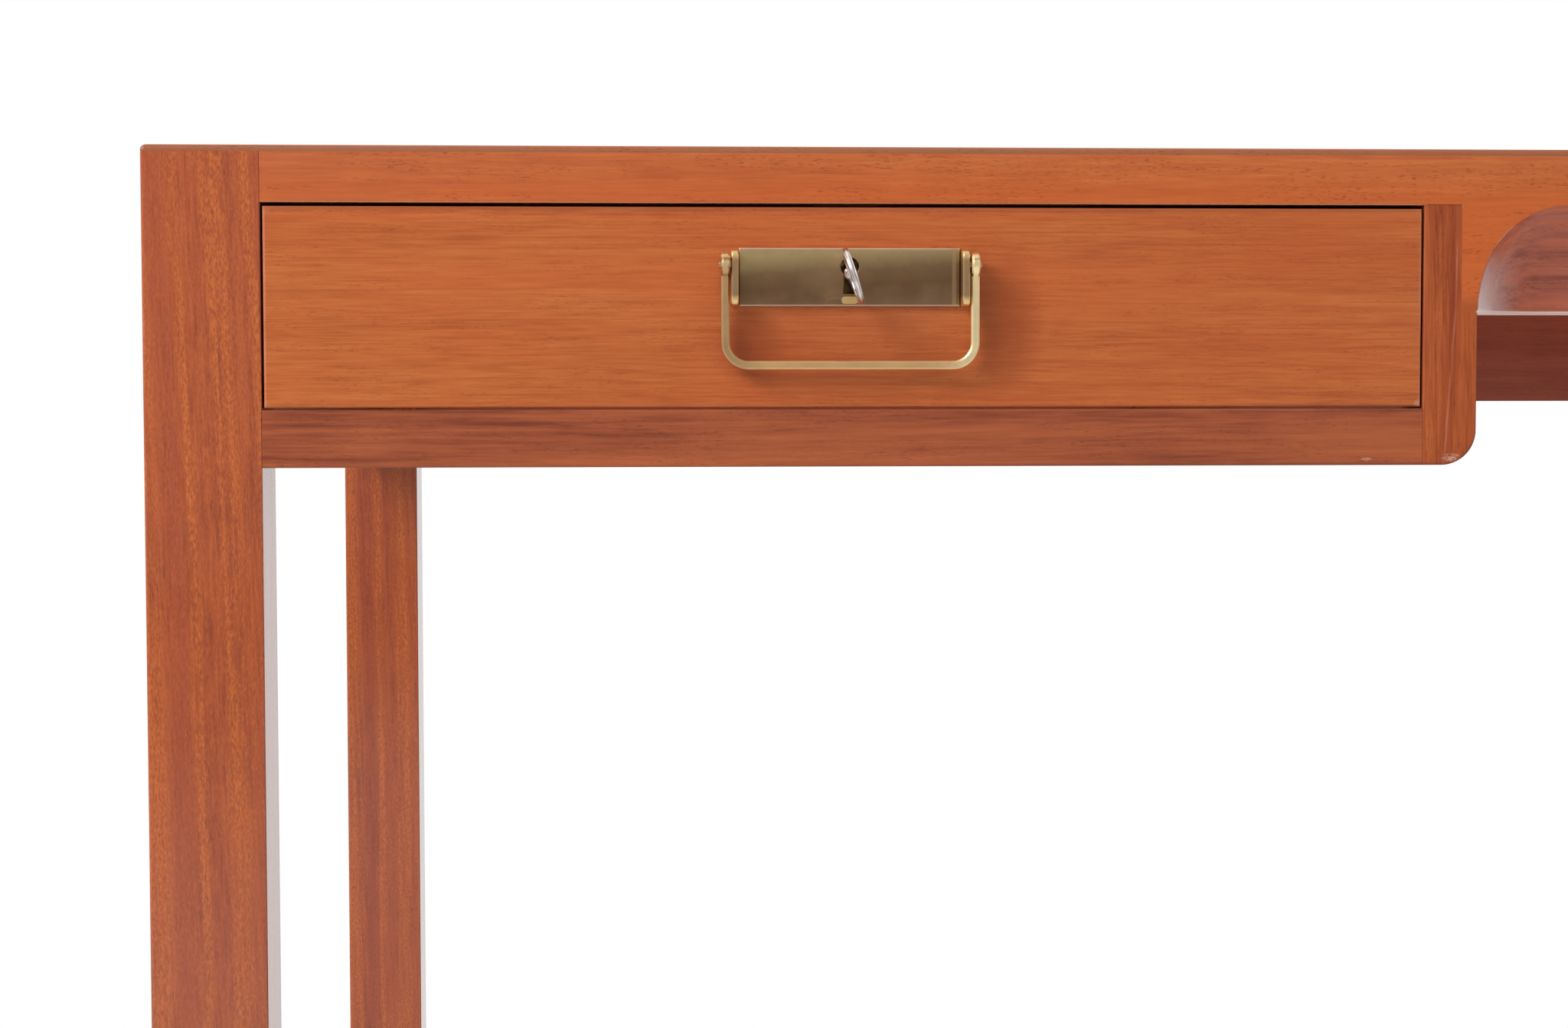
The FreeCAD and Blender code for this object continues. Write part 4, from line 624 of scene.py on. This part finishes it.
def bail_brass():
    """Bail: rubbed brass with a painted reflection, dull on its left arm and bright on its right,
    and seamed heads with painted highlights.
    """
    metal = Metal("bail_brass")
    low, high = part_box("right_bail")
    x, _, z = metal.axes()
    middle = metal.work("MULTIPLY", metal.work("SIGN", x), (low.x + high.x) / 2)
    across = metal.work("SUBTRACT", x, middle)
    # Painted reflection: dull on the left arm, bright on the right.
    share = metal.work("ADD", metal.span(across, -54 * MM, 54 * MM),
                       metal.work("MULTIPLY", metal.work("SUBTRACT", metal.cloud, 0.5), 0.25))
    colour = metal.ramp(share, [(0.06, tint(200, 161, 115)), (0.16, tint(226, 182, 127)),
                                (0.84, tint(230, 187, 133)), (0.96, tint(255, 234, 182))])
    drop = metal.work("SUBTRACT", high.z, z)
    # Painted highlights on the rounded heads at the top of the arms.
    head = metal.ramp(metal.span(drop, 0.0, 8 * MM),
                      [(0.0, 0.7), (0.26, 0.6), (0.34, 0.0), (0.46, 0.0), (0.54, 0.6), (0.72, 0.5),
                       (0.85, 0.0)])
    colour = metal.blend(head, colour, tint(250, 222, 166))
    seam = metal.within(drop, 2.6 * MM, 3.8 * MM)
    colour = metal.blend(seam, colour, tint(128, 96, 62), 0.4)
    colour = metal.rub_edges(colour, tint(244, 212, 166), 0.5)
    return metal.polish(colour, gloss=0.34)


def lock_brass():
    metal = Metal("lock_brass")
    colour = metal.tarnish(tint(132, 108, 64), tint(168, 142, 88), tint(190, 166, 112))
    colour = metal.rub_edges(colour, tint(220, 200, 150), 0.5)
    return metal.polish(colour, gloss=0.36)


def key_nickel(side, way):
    """Key: worn nickel with dark lines of painted shade that run round the ring, as beside a
    ridge.
    """
    metal = Metal(f"{side}_key_nickel")
    colour = metal.tarnish(tint(204, 197, 194), tint(238, 231, 228), tint(250, 246, 243))
    seated = metal.move("SUBTRACT", metal.place, KEY_SEAT[way])
    off = metal.move("DOT_PRODUCT", seated, KEY_POSE @ Vector((1, 0, 0)))
    depth = metal.move("DOT_PRODUCT", seated, KEY_POSE @ Vector((0, 1, 0)))
    shank = metal.span(depth, -9.4 * MM, -8.6 * MM, 0.0, 0.75)
    colour = metal.blend(shank, colour, tint(160, 118, 108))
    # Painted shade: two dark lines round the ring, as beside a raised ridge on its edge.
    lines = metal.ramp(metal.span(off, -1.6 * MM, 1.6 * MM),
                       [(0.18, 0.0), (0.28, 0.8), (0.37, 0.0),
                        (0.58, 0.0), (0.67, 0.75), (0.77, 0.0)])
    colour = metal.blend(lines, colour, tint(70, 62, 60))
    return metal.polish(colour, gloss=0.24)


def screw_steel():
    metal = Metal("screw_steel")
    colour = metal.tarnish(tint(110, 108, 104), tint(150, 148, 144), tint(176, 174, 170))
    colour = metal.rub_edges(colour, tint(200, 198, 194), 0.5)
    return metal.polish(colour, gloss=0.34)


# Small hardware

KEY_POSE = Matrix.Rotation(math.radians(8), 3, "X") @ Matrix.Rotation(math.radians(-18), 3, "Y")
KEY_SEAT = {way: (way * 553.7 * MM, -333.5 * MM, 677.2 * MM) for way in SIDES.values()}
KEY_RING_RADIUS = 12.2 * MM
KEY_EYE_RADIUS = 8.6 * MM
KEY_RING_THICKNESS = 2.6 * MM
SCREW_HEAD = 3.2 * MM


def start_piece(add, **how):
    """Add a starting shape, a lamp or a camera with nothing else selected."""
    bpy.ops.object.select_all(action="DESELECT")
    add(**how)
    return bpy.context.object


def pick(piece):
    bpy.ops.object.select_all(action="DESELECT")
    piece.select_set(True)
    bpy.context.view_layer.objects.active = piece


def clear_away(piece):
    pick(piece)
    bpy.ops.object.delete()


def copy_of(piece, at):
    """A copy with its own mesh, set at a new place."""
    pick(piece)
    bpy.ops.object.duplicate(linked=False)
    twin = bpy.context.object
    twin.matrix_world = at
    return twin


def stretch(size):
    """Stretch the piece in hand along its own axes."""
    bpy.ops.object.mode_set(mode="EDIT")
    bpy.ops.mesh.select_all(action="SELECT")
    bpy.ops.transform.resize(value=size, orient_type="LOCAL")
    bpy.ops.object.mode_set(mode="OBJECT")


def fit(piece, other, operation):
    """Take another shape out of a piece, or grow the two into one, and clear the other away."""
    pick(piece)
    joint = piece.modifiers.new("fit", "BOOLEAN")
    joint.operation = operation
    joint.solver = "EXACT"
    joint.object = other
    bpy.ops.object.modifier_apply(modifier=joint.name)
    bpy.ops.object.mode_set(mode="EDIT")
    bpy.ops.mesh.select_all(action="SELECT")
    bpy.ops.mesh.remove_doubles(threshold=0.01 * MM)
    bpy.ops.mesh.dissolve_degenerate(threshold=0.01 * MM)
    bpy.ops.object.mode_set(mode="OBJECT")
    clear_away(other)


def ease(piece, width):
    """Round the sharp edges of a piece."""
    pick(piece)
    bevel = piece.modifiers.new("ease", "BEVEL")
    bevel.width = width
    bevel.segments = 3
    bevel.limit_method = "ANGLE"
    bevel.angle_limit = math.radians(40)
    bpy.ops.object.modifier_apply(modifier=bevel.name)


def finish_piece(piece, name, finish, body, node):
    """Set a piece in its place for good, in its finish, standing for a CAD node."""
    pick(piece)
    piece.name = name
    bpy.ops.object.transform_apply(location=True, rotation=True, scale=True)
    bpy.ops.object.shade_smooth_by_angle(angle=math.radians(35))
    piece.data.materials.clear()
    piece.data.materials.append(finish)
    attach(piece, body)
    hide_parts(node)


def model_key():
    """Key: a flat ring, a bead where it joins the shank, and a warded bit at the tip."""
    across = {"location": (0, -21 * MM, 0), "rotation": (0, math.pi / 2, 0)}
    key = start_piece(bpy.ops.mesh.primitive_cylinder_add, vertices=72, radius=KEY_RING_RADIUS,
                      depth=KEY_RING_THICKNESS, **across)
    eye = start_piece(bpy.ops.mesh.primitive_cylinder_add, vertices=72, radius=KEY_EYE_RADIUS,
                      depth=6 * MM, **across)
    fit(key, eye, "DIFFERENCE")
    ease(key, 0.7 * MM)
    pick(key)
    bpy.ops.object.transform_apply(location=True, rotation=True, scale=True)
    bit = start_piece(bpy.ops.mesh.primitive_cube_add, size=MM, location=(0, 14 * MM, -5 * MM))
    stretch((1.96, 3.96, 9.96))
    ward = start_piece(bpy.ops.mesh.primitive_cube_add, size=MM, location=(0, 12 * MM, -6.5 * MM))
    stretch((3, 2.4, 1.1))
    fit(bit, ward, "DIFFERENCE")
    shank = start_piece(bpy.ops.mesh.primitive_cylinder_add, vertices=28, radius=1.9 * MM,
                        depth=26.4 * MM, location=(0, 2.7 * MM, 0), rotation=(math.pi / 2, 0, 0))
    bead = start_piece(bpy.ops.mesh.primitive_uv_sphere_add, segments=34, ring_count=14,
                       radius=2.9 * MM, location=(0, -7.3 * MM, 0), rotation=(math.pi / 2, 0, 0))
    stretch((1, 1, 1.5 / 2.9))
    for part in (shank, bead, bit):
        fit(key, part, "UNION")
    return key


def model_screw():
    """Countersunk screw, drawn down from its rim, with a slot sawn across the head."""
    screw = start_piece(bpy.ops.mesh.primitive_circle_add, vertices=32, radius=SCREW_HEAD,
                        fill_type="NGON")
    bpy.ops.object.mode_set(mode="EDIT")
    bpy.ops.mesh.select_all(action="SELECT")
    for drop, taper in ((1.6, 0.5), (9.0, 1.0), (3.0, 0.2)):
        bpy.ops.mesh.extrude_region_move(TRANSFORM_OT_translate={"value": (0, 0, -drop * MM)})
        bpy.ops.transform.resize(value=(taper, taper, 1))
    bpy.ops.mesh.select_all(action="SELECT")
    bpy.ops.mesh.normals_make_consistent(inside=False)
    bpy.ops.object.mode_set(mode="OBJECT")
    blade = start_piece(bpy.ops.mesh.primitive_cube_add, size=MM)
    stretch((8, 0.8, 1.6))
    fit(screw, blade, "DIFFERENCE")
    return screw


def set_key(key, side, way):
    seat = Matrix.Translation(KEY_SEAT[way]) @ KEY_POSE.to_4x4()
    finish_piece(copy_of(key, seat), f"{side}_ring_key", key_nickel(side, way), f"{side}_key",
                 f"{side}_key")


def set_screws(screw, side, kind, count, heads_up, finish):
    """A row of screws, each stopped with its slot at another angle."""
    node = f"{side}_{kind}_screws"
    low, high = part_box(node)
    pitch = (high.x - low.x - 2 * SCREW_HEAD) / (count - 1)
    level, tip_up = (high.z, 0.0) if heads_up else (low.z, math.pi)
    row = []
    for index in range(count):
        at = Vector((low.x + SCREW_HEAD + index * pitch, (low.y + high.y) / 2, level))
        turned = Matrix.Rotation(0.35 + 0.9 * index, 4, "Z") @ Matrix.Rotation(tip_up, 4, "X")
        row.append(copy_of(screw, Matrix.Translation(at) @ turned))
    pick(row[0])
    for piece in row:
        piece.select_set(True)
    bpy.ops.object.join()
    finish_piece(row[0], f"{side}_slotted_{kind}_screws", finish, f"{side}_drawer", node)


def dress(finish, *names):
    """Give CAD nodes a finish in their own material slots."""
    for name in names:
        for held in nodes[name].material_slots:
            held.material = finish


def dress_desk():
    """Finish every solid, and set the keys and screws in place of the plain ones."""
    dress(top_wood(), "top_sheet")
    dress(top_rail_wood(), "front_top_rail")
    dress(case_wood("core_wood", "x", 11.0), "top_core")
    dress(back_wood(), "back_rail")
    brass = {
        "pull_plate": plate_brass(), "pull_post_a": post_brass(), "bail": bail_brass(),
        "lock_case": lock_brass(),
    }
    shared = {"pull_post_b": "pull_post_a", "pull_pins": "pull_post_a", "pull_nuts": "pull_post_a",
              "lock_bolt": "lock_case"}
    steel = screw_steel()
    key = model_key()
    screw = model_screw()
    for seed, (side, way) in enumerate(SIDES.items()):
        for depth, row in enumerate(("front", "rear")):
            leg = f"{row}_{side}_leg"
            dress(leg_wood(f"{leg}_wood", 7.0 + seed + 2 * depth), leg)
        dress(drawer_front_wood(f"{side}_drawer_front_wood", 1.0 + seed), f"{side}_drawer_front")
        dress(lower_rail_wood(f"{side}_lower_rail_wood", 4.0 + seed, way), f"{side}_lower_rail")
        dress(stile_wood(f"{side}_stile_wood", 6.0 + seed, way), f"{side}_stile")
        dress(case_wood(f"{side}_side_wood", "y", 13.0 + seed), f"{side}_outer_side",
              f"{side}_inner_side")
        dress(lining_wood(f"{side}_side_lining", "y", 17.0 + seed), f"{side}_drawer_side_a",
              f"{side}_drawer_side_b", f"{side}_outer_runner", f"{side}_inner_runner")
        dress(lining_wood(f"{side}_cross_lining", "x", 19.0 + seed), f"{side}_drawer_back",
              f"{side}_drawer_bottom")
        for piece, finish in brass.items():
            dress(finish, f"{side}_{piece}")
        for piece, like in shared.items():
            dress(brass[like], f"{side}_{piece}")
        set_key(key, side, way)
        set_screws(screw, side, "lock", 2, True, steel)
        set_screws(screw, side, "bottom", 3, False, steel)
    clear_away(key)
    clear_away(screw)


# Studio

AMBIENT = 0.37

# The photo's camera, worked out from the desk's edges: turns in degrees, in their order
CAMERA_AT = (-0.63574, -1.37133, 0.62237)
CAMERA_TURNS = (("Z", -2.99), ("X", -2.63), ("Y", 0.08), ("X", 90))
CAMERA_LENS = 56.25
CAMERA_SENSOR = 36.0

# Where both lamps on the left point: the pull
LEFT_AIM = (-0.5, -0.33, 0.6)


def lay_floor():
    """White paper to the eye and in reflections, with the desk's shadow left close to it."""
    floor = start_piece(bpy.ops.mesh.primitive_plane_add, size=16.0, location=(0, 0, 0))
    floor.name = "studio_floor"
    paper = Finish("studio_paper")
    fleck = paper.noise(paper.place, (3.0, 3.0, 3.0), detail=3)
    paper.finish(paper.ramp(fleck, [(0.3, 0.88), (0.7, 0.92)]), 0.9, paper.bump(fleck, MM, 0.05))
    glow = paper.node("ShaderNodeEmission")
    glow.inputs["Strength"].default_value = 1.0
    path = paper.node("ShaderNodeLightPath").outputs
    _, y, _ = paper.axes()
    mirrored = paper.work("MAXIMUM", path["Is Glossy Ray"], path["Is Transmission Ray"])
    mirrored = paper.work("MULTIPLY", mirrored, paper.span(y, -1.2, 0.0, 0.1, 1.0))
    seen = paper.work("MAXIMUM", path["Is Camera Ray"], mirrored)
    mixed = paper.node("ShaderNodeMixShader")
    reach = paper.move("ABSOLUTE", paper.place, (0, 0, 0))
    reach = paper.move("SUBTRACT", reach, (cad_high.x, cad_high.y, 0))
    reach = paper.move("LENGTH", paper.move("MAXIMUM", reach, (0, 0, 0)), (0, 0, 0))
    white = paper.span(reach, 0.15, 0.62, 0.7, 1.0)
    paper.feed(mixed.inputs[0], paper.work("MULTIPLY", seen, white))
    paper.feed(mixed.inputs[1], paper.surface.outputs[0])
    paper.feed(mixed.inputs[2], glow.outputs[0])
    output = paper.tree.nodes["Material Output"]
    paper.feed(output.inputs["Surface"], mixed.outputs[0])
    floor.data.materials.append(paper.material)


def paint_world():
    """White all round to the eye and in reflections, softer towards the room in front."""
    world = bpy.data.worlds.new("studio")
    bpy.context.scene.world = world
    world.use_nodes = True
    sky = Nodes(world.node_tree)
    path = sky.node("ShaderNodeLightPath").outputs
    _, y, _ = sky.axes()
    mirrored = sky.work("MAXIMUM", path["Is Glossy Ray"], path["Is Transmission Ray"])
    shine = sky.work("MULTIPLY", mirrored, sky.span(y, -0.9, 0.3, 0.5, 1.0))
    ambient = sky.work("MULTIPLY", sky.work("SUBTRACT", 1.0, mirrored), AMBIENT)
    level = sky.work("MAXIMUM", sky.work("ADD", shine, ambient), path["Is Camera Ray"])
    background = sky.tree.nodes["Background"]
    background.inputs["Color"].default_value = (1, 1, 1, 1)
    sky.feed(background.inputs["Strength"], level)


def hang_lamp(name, size, power, at, aim):
    lamp = start_piece(bpy.ops.object.light_add, type="AREA", location=at)
    lamp.name = name
    lamp.data.shape = "DISK"
    lamp.data.size = size
    lamp.data.energy = power
    lamp.rotation_euler = (Vector(aim) - Vector(at)).to_track_quat("-Z", "Y").to_euler()
    lamp.visible_camera = False


def place_camera():
    camera = start_piece(bpy.ops.object.camera_add)
    camera.name = "photo_camera"
    camera.data.sensor_width = CAMERA_SENSOR
    camera.data.lens = CAMERA_LENS
    stand = Matrix.Translation(CAMERA_AT)
    for axis, angle in CAMERA_TURNS:
        stand @= Matrix.Rotation(math.radians(angle), 4, axis)
    camera.matrix_world = stand
    bpy.context.scene.camera = camera


dress_desk()
lay_floor()
paint_world()
hang_lamp("window_lamp", 1.5, 21.0, (-2.05, -2.1, 2.1), LEFT_AIM)
hang_lamp("side_lamp", 1.5, 49.0, (-2.5, -1.5, 2.35), LEFT_AIM)
hang_lamp("fill_lamp", 2.4, 14.0, (2.4, -2.6, 2.0), (0.0, -0.2, 0.5))
place_camera()
bpy.context.scene.view_settings.view_transform = "Standard"
